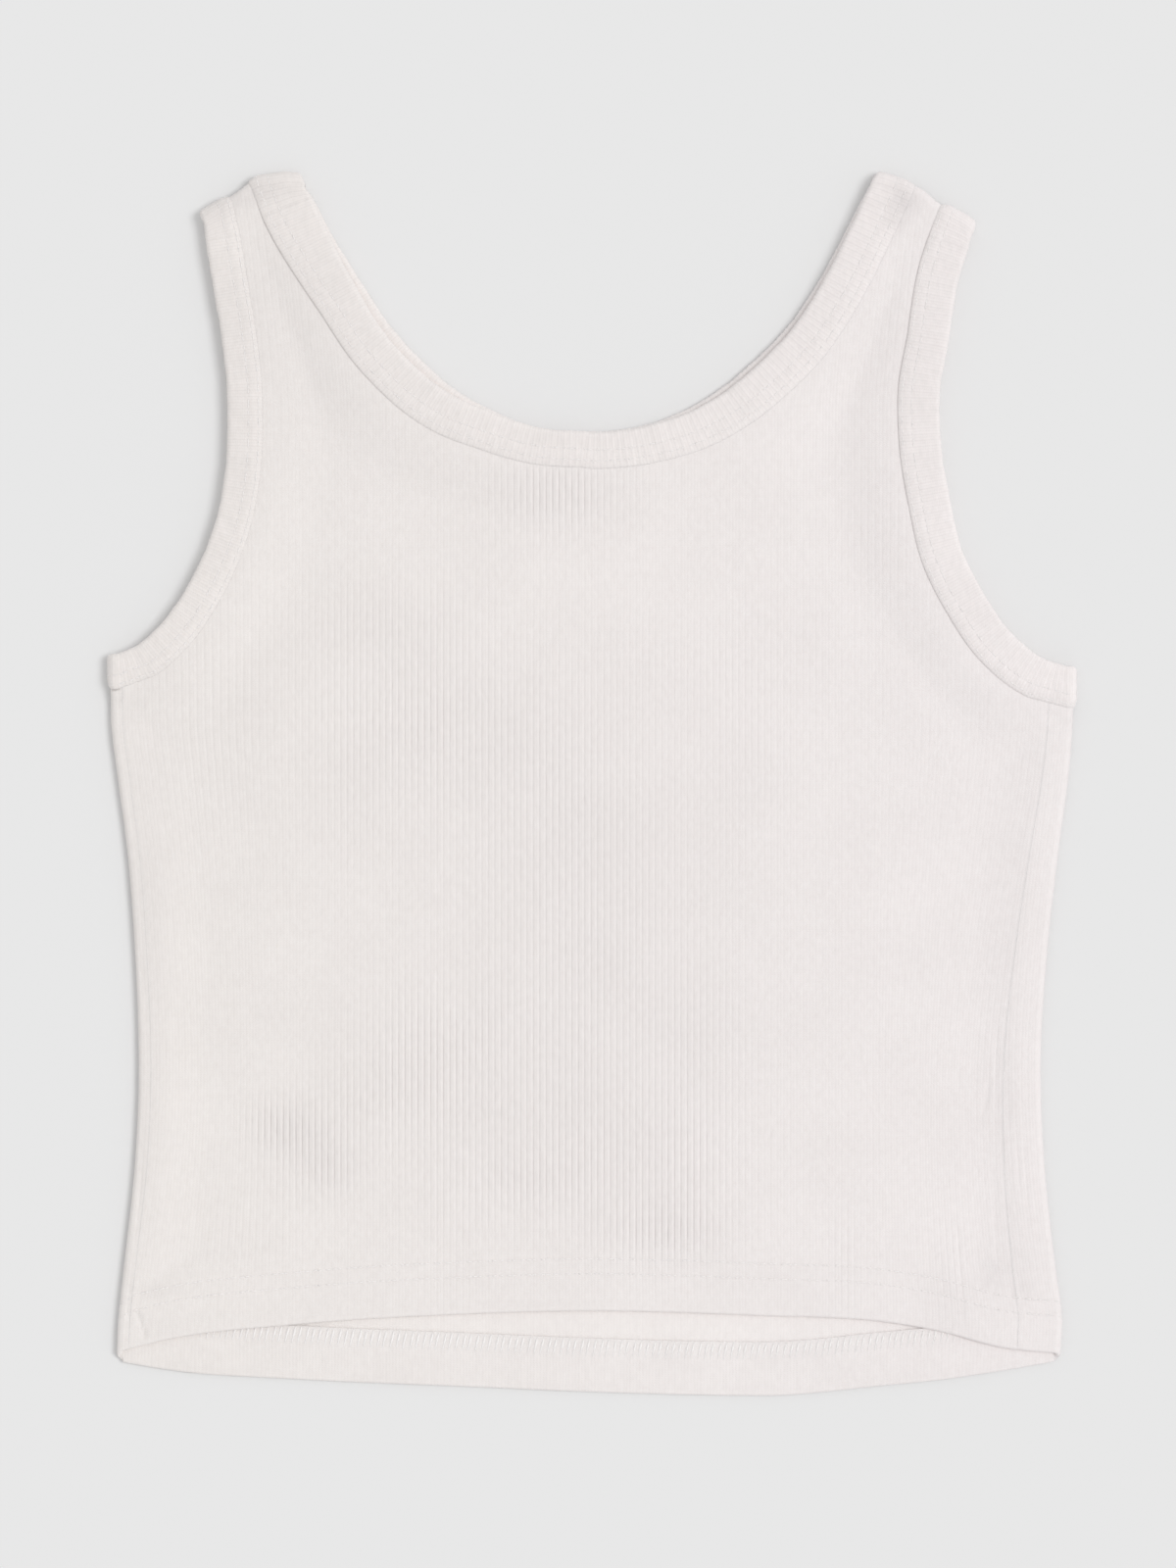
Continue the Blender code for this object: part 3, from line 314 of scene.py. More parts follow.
# Fold line over each shoulder, armhole to neck, straight under each band: across, up
LEFT_SHOULDER = ((-145.2, 209.5), (-131.4, 217.8), (-125.4, 222.6), (-107.2, 225.3))
RIGHT_SHOULDER = ((143.5, 206), (127.6, 214.7), (122.8, 219.3), (105.3, 225.3))

# Soft swells of the upper layer: across, up, half width, half length, height
SWELLS = (
    (-20, 60, 70, 55, 1.5), (60, -60, 60, 80, 1.2), (-90, -110, 45, 60, 1.0), (-110, 20, 30, 40, 1.1),
    (128, 40, 26, 30, 1.2), (120, -150, 34, 40, 0.9),
)

# Fine creases and dimples of the upper layer: ends, half width, height
CREASES = (
    ((-170.9, -47), (-168.6, -84), 0.8, -0.42), ((-167.8, -58), (-167.6, -106), 0.7, -0.4),
    ((-165, -62), (-166.3, -90), 0.7, -0.3), ((-163.2, -92), (-164.6, -131), 0.8, -0.26),
    ((-168.8, -112), (-171.4, -160), 0.8, -0.46), ((-166.8, -118), (-168.8, -156), 0.7, -0.36),
    ((-167.6, -144), (-169.8, -168), 0.7, -0.34), ((-171.2, -150), (-169.4, -163), 0.6, -0.4),
    ((-172.4, -168), (-173.8, -193), 0.8, -0.36), ((-170.1, -196.5), (-166, -208.5), 0.8, -0.75),
    ((-173.8, -196), (-171.6, -205), 0.8, -0.4), ((151.6, -84), (151.9, -138), 0.7, -0.24),
    ((154, -90), (156.2, -134), 0.7, -0.24), ((156.5, -98), (157, -131), 0.7, -0.18),
    ((149.4, -110), (146.6, -126), 0.9, -0.3), ((159.2, -128), (160.4, -156), 0.7, -0.2),
    ((150.4, -138), (152.2, -186), 0.7, -0.2), ((161.8, -122), (163.6, -176), 0.8, -0.2),
    ((137, -164), (139.4, -206), 0.9, -0.2),
)
DIMPLES = (
    (117.3, 217.2, 4.6, 3.8, -0.5), (-134, 216.6, 5.2, 3.8, -0.5), (148.3, -184.5, 6.5, 4, -0.45),
    (160.4, -191.2, 3.6, 3, -0.45), (-163, -190.5, 11, 3, -0.5), (-150, -203.5, 10, 2.5, -0.3),
)

# Painted shade at the strap tops, by the dimples at the hem corners, along the left side and over the
# upper left and upper right.
# The faint patches over the middle, the lower middle and below the neck are the cloth's own greyer tone.
# Greyer patches of the upper layer, of painted shade and tone: across, up, half width, half height,
# strength
SHADE_AND_TONE_PATCHES = (
    (117, 216.5, 4.6, 5.2, 0.24), (113.5, 208.5, 4, 4.5, 0.1), (-133.6, 216.8, 6.4, 3.8, 0.13),
    (-139.5, 212, 6.5, 4.4, 0.1), (-121, 221, 8, 4, 0.12), (148, -185, 6.5, 4.6, 0.09),
    (160.6, -191, 3.2, 2.8, 0.07), (154, -188, 7, 2.6, 0.03), (-163, -190.5, 11, 2.8, 0.05),
    (-158, -203.5, 12, 3.4, 0.03), (-8, -40, 74, 88, 0.034), (-16, -132, 52, 34, 0.02),
    (-112, -130, 14, 9, 0.045), (-99, -142, 12, 8, 0.04), (24, -168, 34, 12, 0.02),
    (-10, 112, 21, 10, 0.022), (-150, 40, 50, 110, 0.018), (-163, -70, 8, 120, 0.065),
    (-120, 165, 36, 60, 0.07), (118, 165, 34, 60, 0.022),
)

# Soft creases of the layer that lies on the ground, pressed upwards
UNDER_CREASES = (
    ((-150, -40), (-146, -96), 1.6, -0.3), ((-139, -88), (-143.5, -150), 1.4, -0.26),
    ((-96, -150), (-92, -196), 1.5, -0.26), ((-31, -166), (-28.5, -203), 1.3, -0.22),
    ((44, -158), (47, -200), 1.4, -0.26), ((118, -140), (123, -198), 1.6, -0.3),
    ((149, -60), (152, -128), 1.4, -0.28), ((143, -22), (147.5, -71), 1.5, -0.24),
    ((-122, 150), (-128, 196), 1.2, -0.26), ((119, 146), (124, 192), 1.2, -0.26),
    ((-66, 44), (-24, 20), 1.8, -0.24), ((20, 28), (71, 52), 1.7, -0.22),
)

# Where the ribs stand out more: across, up, half width, half height, how much more
RIB_GROUPS = (
    (-63, 24, 34, 42, 1.12), (-80, 62, 30, 14, 0.45), (-92, 10, 14, 50, 0.5), (-10, 10, 30, 40, 0.6),
    (-4, -60, 46, 64, 1.0), (-40, -90, 20, 14, 0.35), (-66, -112, 24, 26, 1.15), (-92, -124, 12, 24, 0.6),
    (-112, -152, 14, 9, 0.6), (-68, -86, 14, 16, 0.45), (-111, -131, 13, 13, 1.7),
    (-123, -127, 9, 9, 0.9), (-97, -146, 10, 9, 1.0), (-14, -132, 56, 38, 0.7), (0.0, -150, 30, 20, 0.5),
    (40, -145, 18, 30, 0.8), (42, -95, 16, 28, 0.5), (34, -172, 18, 10, 0.6), (-36, -152, 22, 12, 0.5),
    (22, -172, 20, 12, 1.1), (-12, 108, 25, 16, 1.5), (38, 46, 34, 14, 0.4), (60, 20, 24, 44, 0.4),
    (-142, 34, 26, 50, 0.6), (-55, -176, 9, 24, 0.5), (-126, -170, 20, 14, 0.4), (95, -182, 6, 20, 0.85),
    (134.5, -184, 6, 20, 0.75), (155, -110, 8, 34, 0.3), (-126, 186, 12, 26, 0.35),
    (122, 176, 12, 34, 0.35), (112, 90, 16, 30, 0.3),
)

# Puckers of the bands: length, height, turn, slant
PUCKERS = ((11.3, 0.04, 0.0, 0.05), (17.9, 0.05, 1.1, -0.08), (7.1, 0.03, 2.3, 0.11))

# How softly the inner edge of each band lies down: share of its length, softness
NECK_SOFT = ((0.0, 1.0), (0.035, 0.25), (0.14, 0.35), (0.22, 0.45), (0.36, 0.85), (0.5, 1.0), (1.0, 1.0))
LEFT_ARM_SOFT = ((0.0, 1.0), (0.6, 0.85), (1.0, 0.85))
RIGHT_ARM_SOFT = ((0.0, 1.0), (0.06, 0.35), (0.3, 0.45), (0.8, 0.5), (0.95, 0.6), (1.0, 1.0))
UNDER_SOFT = ((0.0, 1.0), (1.0, 1.0))


# Curves

def hermite(rows, at):
    """Values of a smooth curve through rows, whose first column is where each row lies."""
    rows = np.array(sorted(rows), float)
    knots, values = rows[:, 0], rows[:, 1:]
    slopes = np.gradient(values, knots, axis=0)
    rises = np.diff(values, axis=0)
    slopes[1:-1][rises[:-1] * rises[1:] <= 0.0] = 0.0
    at = np.clip(at, knots[0], knots[-1])
    left = np.clip(np.searchsorted(knots, at, side="right") - 1, 0, len(knots) - 2)
    span = knots[left + 1] - knots[left]
    t = ((at - knots[left]) / span)[..., None]
    span = span[..., None]
    return (
        (2 * t**3 - 3 * t**2 + 1) * values[left]
        + (t**3 - 2 * t**2 + t) * span * slopes[left]
        + (3 * t**2 - 2 * t**3) * values[left + 1]
        + (t**3 - t**2) * span * slopes[left + 1]
    )


def column(rows, index):
    """A column of a table as a smooth function of the table's first column."""
    picked = [(row[0], row[index]) for row in rows]
    return lambda at: hermite(picked, np.asarray(at, float))[..., 0]


def falloff(distance, hold, reach):
    """1 up to hold, then a smooth fall to 0 over reach."""
    t = np.clip((distance - hold) / reach, 0.0, 1.0)
    return 1.0 - t * t * (3.0 - 2.0 * t)


def even(start, stop, step):
    """Evenly spaced values from start to stop, no more than step apart."""
    count = max(1, int(math.ceil(abs(stop - start) / step)))
    return np.linspace(start, stop, count + 1)


def added_up(steps):
    """Running totals of some steps, from zero."""
    return np.concatenate(([0.0], np.cumsum(steps)))


def between(at, along, points):
    """Each coordinate of the places that lie at some distances along a row of points."""
    return np.array([np.interp(at, along, values) for values in points.T])


def unit(vectors, axis):
    return vectors / np.linalg.norm(vectors, axis=axis, keepdims=True)


def spread(x, y, table):
    """The sum of soft round patches: across, up, half width, half height, strength."""
    return sum(strength * np.exp(-(((x - across) / wide) ** 2) - ((y - up) / long) ** 2)
               for across, up, wide, long, strength in table)


class Line:
    """A plan curve with a normal on one side of it: +1 is left of its run, -1 is right."""

    def __init__(self, points, side):
        run = unit(np.gradient(points, axis=0), 1)
        self.points = points
        self.normals = np.stack((-run[:, 1], run[:, 0]), axis=1) * side
        self.along = added_up(np.hypot(*np.diff(points, axis=0).T))
        self.length = self.along[-1]

    def at(self, along):
        """Points and normals at places along the line."""
        point, normal = (between(along, self.along, rows) for rows in (self.points, self.normals))
        return point, unit(normal, 0)

    def nearest(self, x, y):
        """Distance, place along the line, foot, normal and signed distance on the normal's side."""
        start, chord = self.points[:-1], np.diff(self.points, axis=0)
        size = (chord**2).sum(axis=1)
        spot = np.stack((x, y), axis=-1)[..., None, :]
        part = np.clip(((spot - start) * chord).sum(axis=-1) / size, 0.0, 1.0)
        gaps = np.linalg.norm(spot - (start + part[..., None] * chord), axis=-1)
        best = np.argmin(gaps, axis=-1)[..., None]
        distance, part = (np.take_along_axis(values, best, -1)[..., 0] for values in (gaps, part))
        best = best[..., 0]
        along = self.along[best] + part * np.sqrt(size[best])
        point, normal = self.at(along)
        beyond = ((np.stack((x, y)) - point) * normal).sum(axis=0)
        return distance, along, point, normal, beyond


def line_through(rows, side, straight=False):
    rows = np.array(rows, float)
    knots = added_up(np.hypot(*np.diff(rows, axis=0).T))
    at = even(0.0, knots[-1], EDGE_STEP)
    if straight:
        return Line(between(at, knots, rows).T, side)
    return Line(hermite([(k, *row) for k, row in zip(knots, rows)], at), side)


# The garment's lines

class Side:
    """The left or the right of the garment, with way -1 or +1: its folds, seams and armhole."""

    def __init__(self, way, index, armhole, width, shoulder):
        self.way = way
        self.edge, self.inset = column(SIDES, index), column(SIDES, index + 2)
        self.arm = line_through(armhole, -way)
        self.arm.width = np.full(len(self.arm.along), width)
        self.shoulder = line_through(shoulder, -way, straight=True)

    def fold(self, y):
        return self.edge(y) - self.way * FOLD_SHIFT

    def seam(self, y):
        return self.edge(y) - self.way * self.inset(y)

    def seam_cut(self, y):
        """Where the side seam lies in the front's pattern, past the side fold."""
        x = self.seam(y) + self.way * CLOSED_SEAM / 2
        return self.fold(y) + self.way * (FOLD_TURN + self.way * (self.fold(y) - x))


LEFT = Side(-1.0, 1, LEFT_ARMHOLE, ARM_WIDTHS[0], LEFT_SHOULDER)
RIGHT = Side(1.0, 2, RIGHT_ARMHOLE, ARM_WIDTHS[1], RIGHT_SHOULDER)
BOTH = (LEFT, RIGHT)
back_hem_edge, front_hem_edge = column(HEMS, 1), column(HEMS, 2)


def fold_beside(x, y):
    """The side fold on a point's own side of the garment."""
    return np.where(x < 0.0, LEFT.fold(y), RIGHT.fold(y))


def back_hem(x):
    return back_hem_edge(x) + HEM_SHIFT


def front_hem(x):
    return front_hem_edge(x) + HEM_SHIFT


def neck_width(line):
    across, up = line.points.T
    middle = np.exp(-((across - NECK_BOTTOM[0]) / NECK_MIDDLE_REACH) ** 2)
    top = (across < 0.0) * (1.0 - falloff(up, *NECK_TOP_RISE))
    return NECK_SIDE_WIDTH - (NECK_SIDE_WIDTH - NECK_MIDDLE_WIDTH) * middle + NECK_TOP_WIDER * top


def neck_lines():
    """The free neck edge of the front, and that of the back, which lies inside it."""
    left, right = ([(row[k], row[0]) for row in NECK] for k in (1, 2))
    front = line_through([*left, NECK_BOTTOM, *right[::-1]], -1)
    left, right = (column(NECK, k)(front.points[:, 1]) for k in (3, 4))
    inset = np.clip(np.where(front.points[:, 0] < NECK_BOTTOM[0], left, right), 0.0, None)
    back = Line(front.points + front.normals * inset[:, None], -1)
    for line in (front, back):
        line.width = neck_width(line)
    return front, back


neck_front, neck_back = neck_lines()
LOWER_EDGES = (LEFT.arm, RIGHT.arm, neck_front)
UPPER_EDGES = (LEFT.arm, RIGHT.arm, neck_back)


def gaps_to_bands(edges, x, y):
    """Distance past the inner edge of each band."""
    gaps = []
    for line in edges:
        distance, along = line.nearest(x, y)[:2]
        gaps.append(distance - np.interp(along, line.along, line.width))
    return np.array(gaps)


def softly_clear(edges, x, y):
    """Distance past the nearest band, rounded off where two bands are about as near."""
    gaps = gaps_to_bands(edges, x, y)
    least = gaps.min(axis=0)
    return least - MEET_SOFT * np.log(np.exp((least - gaps) / MEET_SOFT).sum(axis=0))


def over_shoulder(x, y):
    """How far a point lies past a shoulder line, with its foot there and the way out."""
    left, right = (side.shoulder.nearest(x, y) for side in BOTH)
    first = left[0] < right[0]
    foot, out, beyond = (np.where(first, *pair) for pair in list(zip(left, right))[2:])
    return beyond, foot, out


def sampled(edges):
    """Distance past the nearest band over the garment's plan, read from a grid of its values."""
    axes = [np.arange(low, high, PLAN_STEP) for low, high in zip(PLAN_LOW, PLAN_HIGH)]
    values = np.array([softly_clear(edges, axes[0], np.full(len(axes[0]), up)) for up in axes[1]])

    def read(x, y):
        i, j = (np.clip((np.asarray(at) - low) / PLAN_STEP, 0.0, len(axis) - LAST_CELL)
                for at, low, axis in zip((x, y), PLAN_LOW, axes))
        left, below = i.astype(int), j.astype(int)
        i, j = i - left, j - below
        low, high = (values[row, left] * (1.0 - i) + values[row, left + 1] * i
                     for row in (below, below + 1))
        return low * (1.0 - j) + high * j
    return read


clear_lower, clear_upper = sampled(LOWER_EDGES), sampled(UPPER_EDGES)


# Heights of the two layers

def beside_sewing(clear, x, y, ramp):
    """1 beside a band or a shoulder fold, falling to 0 over a ramp."""
    band = falloff(clear(x, y), BAND_CLEARANCE, ramp)
    return np.maximum(band, falloff(-over_shoulder(x, y)[0], SHOULDER_HOLD, SHOULDER_RAMP))


def lower_height(x, y):
    return LOWER_FIELD + (LOWER_BAND - LOWER_FIELD) * beside_sewing(clear_lower, x, y, LOWER_RAMP)


def upper_height(x, y):
    inward = np.minimum(x - LEFT.fold(y), RIGHT.fold(y) - x)
    corner = np.maximum(falloff(x, *CORNER_LEFT), falloff(-x, -CORNER_RIGHT[0], CORNER_RIGHT[1]))
    beside = LOWER_FIELD + 2 * FOLD_RADIUS - UPPER_FIELD
    lift = np.maximum.reduce((
        (UPPER_BAND - UPPER_FIELD) * beside_sewing(clear_upper, x, y, UPPER_RAMP),
        beside * falloff(inward, SIDE_HOLD, SIDE_RAMP),
        HEM_LIFT * (falloff(y - back_hem(x), HEM_HOLD, HEM_RAMP) * (1.0 + corner)),
    ))
    slack = (1.0 - np.clip(lift / HEM_LIFT, 0.0, 1.0)) ** 2
    at_fold = lower_height(fold_beside(x, y), y) + 2 * FOLD_RADIUS
    near_fold = falloff(inward, SIDE_HOLD, SIDE_RAMP / 2)
    free = UPPER_FIELD + lift + spread(x, y, SWELLS) * slack
    return free * (1.0 - near_fold) + at_fold * near_fold


def on_sheet(height, x, y, offset):
    """Points offset above a height field, measured along its normal."""
    step = SLOPE_STEP
    slope_x = (height(x + step, y) - height(x - step, y)) / (2 * step)
    slope_y = (height(x, y + step) - height(x, y - step)) / (2 * step)
    size = np.sqrt(1.0 + slope_x**2 + slope_y**2)
    z = height(x, y)
    return np.stack((x - offset * slope_x / size, y - offset * slope_y / size, z + offset / size))


def hem_turn(fold, t, offset):
    """Where a point of the pattern lies once the hem is turned up: its level and its depth."""
    below = np.clip(fold - t, 0.0, None)
    angle = np.clip(below / HEM_RADIUS, 0.0, math.pi)
    rest = np.clip(below - HEM_BEND, 0.0, None)
    y = np.where(below > 0.0, fold - (HEM_RADIUS + offset) * np.sin(angle) + rest, t)
    return y, (HEM_RADIUS + offset) * np.cos(angle) - HEM_RADIUS


def hem_level(fold, t):
    """The level of a pattern point on the folded panel, whatever side of the wall it is on."""
    return np.where(t < fold, 2 * fold - t - HEM_BEND, t).clip(min=fold - HEM_RADIUS)


def turned_over_shoulder(placed, x, y, offset, height, up):
    """Bends what lies past a shoulder line round the shoulder fold."""
    beyond, foot, out = over_shoulder(x, y)
    angle = np.clip(beyond, 0.0, None) / FOLD_RADIUS
    radius = FOLD_RADIUS + offset
    z = height(foot[0], foot[1]) - up * FOLD_RADIUS + up * radius * np.cos(angle)
    bent = np.stack((*(foot + out * radius * np.sin(angle)), z))
    return np.where(beyond > 0.0, bent, placed)


def place_back(x, t, offset):
    y, depth = hem_turn(back_hem(x), t, offset)
    flat = on_sheet(upper_height, x, y, depth)
    return turned_over_shoulder(flat, x, y, depth, upper_height, 1.0)


def front_hem_fold(s):
    """The front's hem line, carried round each side fold to meet the back's."""
    left, right = (side.fold(HEM_CORNER_LEVEL) for side in BOTH)
    past = np.maximum(left - s, s - right)
    part = np.clip(past / FOLD_TURN, 0.0, 1.0)
    rest = np.clip(past - FOLD_TURN, 0.0, None)
    upper_x = np.where(s < 0.0, left + rest, right - rest)
    return front_hem(np.clip(s, left, right)) * (1.0 - part) + back_hem(upper_x) * part


def past_fold(s, y):
    """A point of the front: its side's way, the side fold there and how far past it the point is."""
    way, fold_x = np.where(s < 0.0, -1.0, 1.0), fold_beside(s, y)
    return way, fold_x, way * (s - fold_x)


def place_front(s, t, offset):
    y, depth = hem_turn(front_hem_fold(s), t, offset)
    way, fold_x, past = past_fold(s, y)
    under = on_sheet(lambda a, b: -lower_height(a, b), s, y, depth) * np.array((1, 1, -1))[:, None]
    under = turned_over_shoulder(under, s, y, depth, lower_height, -1.0)
    angle = np.clip(past / FOLD_RADIUS, 0.0, math.pi)
    radius = FOLD_RADIUS + depth
    z = lower_height(fold_x, y) + FOLD_RADIUS - radius * np.cos(angle)
    round_side = np.stack((fold_x + way * radius * np.sin(angle), y, z))
    over = on_sheet(upper_height, fold_x - way * (past - FOLD_TURN), y, depth)
    placed = np.where(past > 0.0, round_side, under)
    return np.where(past > FOLD_TURN, over, placed)


def garment_spot(s, t):
    """Where a point of the front's pattern lies on the garment: across, up, and past a side fold."""
    y = hem_level(front_hem_fold(s), t)
    way, fold_x, past = past_fold(s, y)
    over = np.where(past < FOLD_TURN, fold_x, fold_x - way * (past - FOLD_TURN))
    return np.where(past < 0.0, s, over), y, past


# Outlines of the two patterns

def stations(line):
    """Places along a free edge where its band has a section, clear of the folds at its ends."""
    return even(END_GAP, line.length - END_GAP, STATION_STEP)


def inset_run(line, start, stop):
    """Points where a panel's raw edge lies, inside its free edge, between two places along it."""
    places = stations(line)
    places = places[(places > start + HEM_RADIUS) & (places < stop - HEM_RADIUS)]
    points, normals = line.at(np.array([start, *places, stop]))
    return list((points + RAW_EDGE_INSET * normals).T)


def where_across(line, x):
    """The place along an armhole near the underarm where its inset run crosses x."""
    points = line.points + line.normals * RAW_EDGE_INSET
    tail = slice(len(points) // 2, None)
    order = np.argsort(points[tail, 0])
    return float(np.interp(x, points[tail, 0][order], line.along[tail][order]))


def seam_part(fold, seam, top, cut):
    """A side seam in a pattern, from the raw edge of the hem to just below top."""
    near = even(top - BAND_SEARCH, top, HEM_RADIUS / 2)
    clear = gaps_to_bands(UPPER_EDGES, seam(near), near).min(axis=0)
    band = near[np.argmax(clear < BAND_CLEARANCE)]
    raw = fold - HEM_BEND - HEM_DEPTH
    levels = np.array([
        raw, raw + HEM_DEPTH / 2, *(fold + turn for turn in HEM_TURNS[:0:-1]),
        fold, fold + HEM_HOLD / 2, *even(fold + HEM_HOLD, band - UPPER_RAMP, 2 * BORDER_STEP),
        *(band - UPPER_RAMP * (RAMP_STEPS - k) / RAMP_STEPS for k in range(1, RAMP_STEPS + 1)),
    ])
    return [(float(cut(hem_level(fold, t))), t) for t in levels]


def shoulder_run(shoulder, start, stop):
    """Over a shoulder fold, along its top and back, from one place on its line to another."""
    (foot, out), (last, last_out) = (shoulder.at(np.array([at])) for at in (start, stop))
    along, ways = shoulder.at(even(start, stop, BORDER_STEP / 2))
    reach = np.array(FOLD_TURNS[:FOLD_STEPS // 2])
    top = (along + ways * FOLD_RADIUS * SHOULDER_END).T
    return [*(foot + out * reach).T, *top, *(last + last_out * reach[::-1]).T]


def bordered(side_part, neck, raw_edge):
    """A panel's border: up its left side, over both straps, down its right and along its raw edge."""
    left, right = (side_part(side) for side in BOTH)
    first, last = LEFT.shoulder, RIGHT.shoulder
    straps = shoulder_run(first, RAW_EDGE_INSET, first.length - RAW_EDGE_INSET)
    straps += inset_run(neck, END_GAP, neck.length - END_GAP)
    straps += shoulder_run(last, last.length - RAW_EDGE_INSET, RAW_EDGE_INSET)
    return left + straps + right[::-1] + raw_edge(left[0][0], right[0][0])


def back_side(side):
    """One side of the back's border, upwards."""
    def seam(y):
        return side.seam(y) - side.way * CLOSED_SEAM / 2
    stop = where_across(side.arm, float(seam(side.arm.points[-1, 1])))
    arm = inset_run(side.arm, END_GAP, stop)[::-1]
    return seam_part(float(back_hem(side.seam(SEAM_FOOT_LEVEL))), side.seam, arm[0][1], seam) + arm


def back_raw_edge(left, right):
    return [(x, float(back_hem(x)) - HEM_BEND - HEM_DEPTH) for x in even(right, left, BORDER_STEP)[1:-1]]


def front_side(side):
    """One side of the front's border, upwards: its seam, round the side fold, then the armhole."""
    arm, way = side.arm, side.way
    level = arm.points[-1, 1]
    stop = where_across(arm, float(side.seam(level)) + way * CLOSED_SEAM / 2)
    fold_x = float(side.fold(level))
    over = [(fold_x + way * (FOLD_TURN + way * (fold_x - x)), y)
            for x, y in inset_run(arm, stop, arm.length)[:-1]]
    turn = [(fold_x + way * FOLD_TURN * (1 - k / FOLD_STEPS), level - RAW_EDGE_INSET)
            for k in range(FOLD_STEPS + 1)]
    fold = float(front_hem_fold(side.seam_cut(SEAM_FOOT_LEVEL)))
    seam = seam_part(fold, side.seam, over[0][1], side.seam_cut)
    return seam + over + turn + inset_run(arm, END_GAP, arm.length)[-2::-1]


def front_raw_edge(left, right):
    """The raw edge of the front's hem, with points at the side folds."""
    depth = -HEM_BEND - HEM_DEPTH
    corner = float(back_hem_edge(SIDES[0][1]))
    level = float(hem_level(corner, corner + depth))
    low, high = (float(side.fold(level)) for side in BOTH)
    far = high + FOLD_TURN
    across = np.concatenate((
        [low - past for past in FOLD_TURNS[::-1]],
        even(low, high, BORDER_STEP)[1:-1],
        [high + past for past in FOLD_TURNS],
        even(far, far + (high - float(RIGHT.seam(level))), BORDER_STEP)[1:-1],
    ))[::-1]
    across = across[(across > left + CORNER_MARGIN) & (across < right - CORNER_MARGIN)]
    return list(np.stack((across, front_hem_fold(across) + depth), axis=1))


# Lines inside a pattern that its wall bends on

def inside(border, points):
    """Which points lie inside a border, clear of it by LINE_MARGIN."""
    start, points = np.array(border), np.array(points)
    end = np.roll(start, -1, axis=0)
    x, y = points[:, 0, None], points[:, 1, None]
    crosses = (start[:, 1] > y) != (end[:, 1] > y)
    rise = np.where(end[:, 1] == start[:, 1], 1.0, end[:, 1] - start[:, 1])
    hit = crosses & (x < start[:, 0] + (y - start[:, 1]) * (end[:, 0] - start[:, 0]) / rise)
    chord = end - start
    part = ((points[:, None] - start) * chord).sum(-1) / np.maximum((chord**2).sum(-1), LEAST_SIZE)
    foot = start + np.clip(part, 0.0, 1.0)[..., None] * chord
    near = np.linalg.norm(points[:, None] - foot, axis=-1).min(axis=1)
    return (hit.sum(axis=1) % 2 == 1) & (near > LINE_MARGIN)


def runs(keep):
    """Start and stop of each unbroken run of true values."""
    marks = np.flatnonzero(np.diff(np.concatenate(([0], keep.astype(int), [0]))))
    return zip(marks[::2], marks[1::2])


def flat_parts(points, keep):
    """The kept stretches of a line, as rows of across, up and no rise."""
    return [np.column_stack((points[a:b], np.zeros(b - a))) for a, b in runs(keep)]


def contour_lines(border, edges, gaps):
    """Lines at given gaps beyond the inner edge of each band, where no other band is nearer."""
    found = []
    for line in edges:
        along = even(0.0, line.length, BORDER_STEP)
        points, normals = line.at(along)
        for gap in gaps:
            spots = (points + normals * (np.interp(along, line.along, line.width) + gap)).T
            near = gaps_to_bands(edges, spots[:, 0], spots[:, 1]).min(axis=0)
            found += flat_parts(spots, (near > gap - CONTOUR_SLACK) & inside(border, spots))
    return found


def shoulder_lines(border):
    """Lines along the bend of each shoulder fold."""
    found = []
    for side in BOTH:
        feet, out = side.shoulder.at(even(0.0, side.shoulder.length, BORDER_STEP / 2))
        for reach in (-SHOULDER_RAMP, -SHOULDER_HOLD / 4, *FOLD_TURNS[:FOLD_STEPS // 2]):
            spots = (feet + out * reach).T
            found += flat_parts(spots, inside(border, spots))
    return found


# Ribs

def bend(x, y, lines):
    """How far the ribs move across at a level: with the lines at both sides, and out on the straps."""
    level = np.minimum(y, RIB_BEND_TOP)
    rise = (y - STRAP_LEAN_START) / (STRAP_LEAN_END - STRAP_LEAN_START)
    rise = np.clip(rise, 0.0, STRAP_LEAN_LIMIT)
    outer = 1.0 - falloff(np.abs(x), STRAP_LEAN_INNER, STRAP_LEAN_FULL - STRAP_LEAN_INNER)
    at_left, at_right = (line(RIB_BEND_LEVEL) for line in lines)
    return (
        (lines[0](level) - at_left) * falloff(x - at_left, 0.0, RIB_BEND_REACH)
        + (lines[1](level) - at_right) * falloff(at_right - x, 0.0, RIB_BEND_REACH)
        + np.sign(x) * STRAP_LEAN * outer * rise**STRAP_LEAN_CURVE
    )


def rib_set(low, high):
    """Where the lines along the ribs lie, and how high each stands."""
    first, last = math.ceil(low / RIB_PITCH), math.floor(high / RIB_PITCH)
    table = [((k + part) * RIB_PITCH, RIB_HEIGHT * rise)
             for k in range(first, last) for part, rise in RIB_PROFILE]
    return np.array(table).T


def plain_set(places):
    across = np.array(sorted(places))
    return across, np.zeros(len(across))


def rows_above(step):
    """Levels above the fold of a hem, closer together beside each needle row."""
    beside = [row + k * DITCH_HALF for row in HEM_ROWS for k in (-2, -1, 0, 1, 2)]
    far = [level for level in even(0.0, RIB_LENGTH, step)
           if min(abs(level - row) for row in HEM_ROWS) > 3 * DITCH_HALF]
    return far + beside


def ditch(above):
    """The groove that each needle row of a hem draws in the cloth above its fold."""
    groove = -DITCH * sum(np.exp(-((above - row) / DITCH_HALF) ** 2) for row in HEM_ROWS)
    return HEM_DITCH * groove * (above > 0.0)


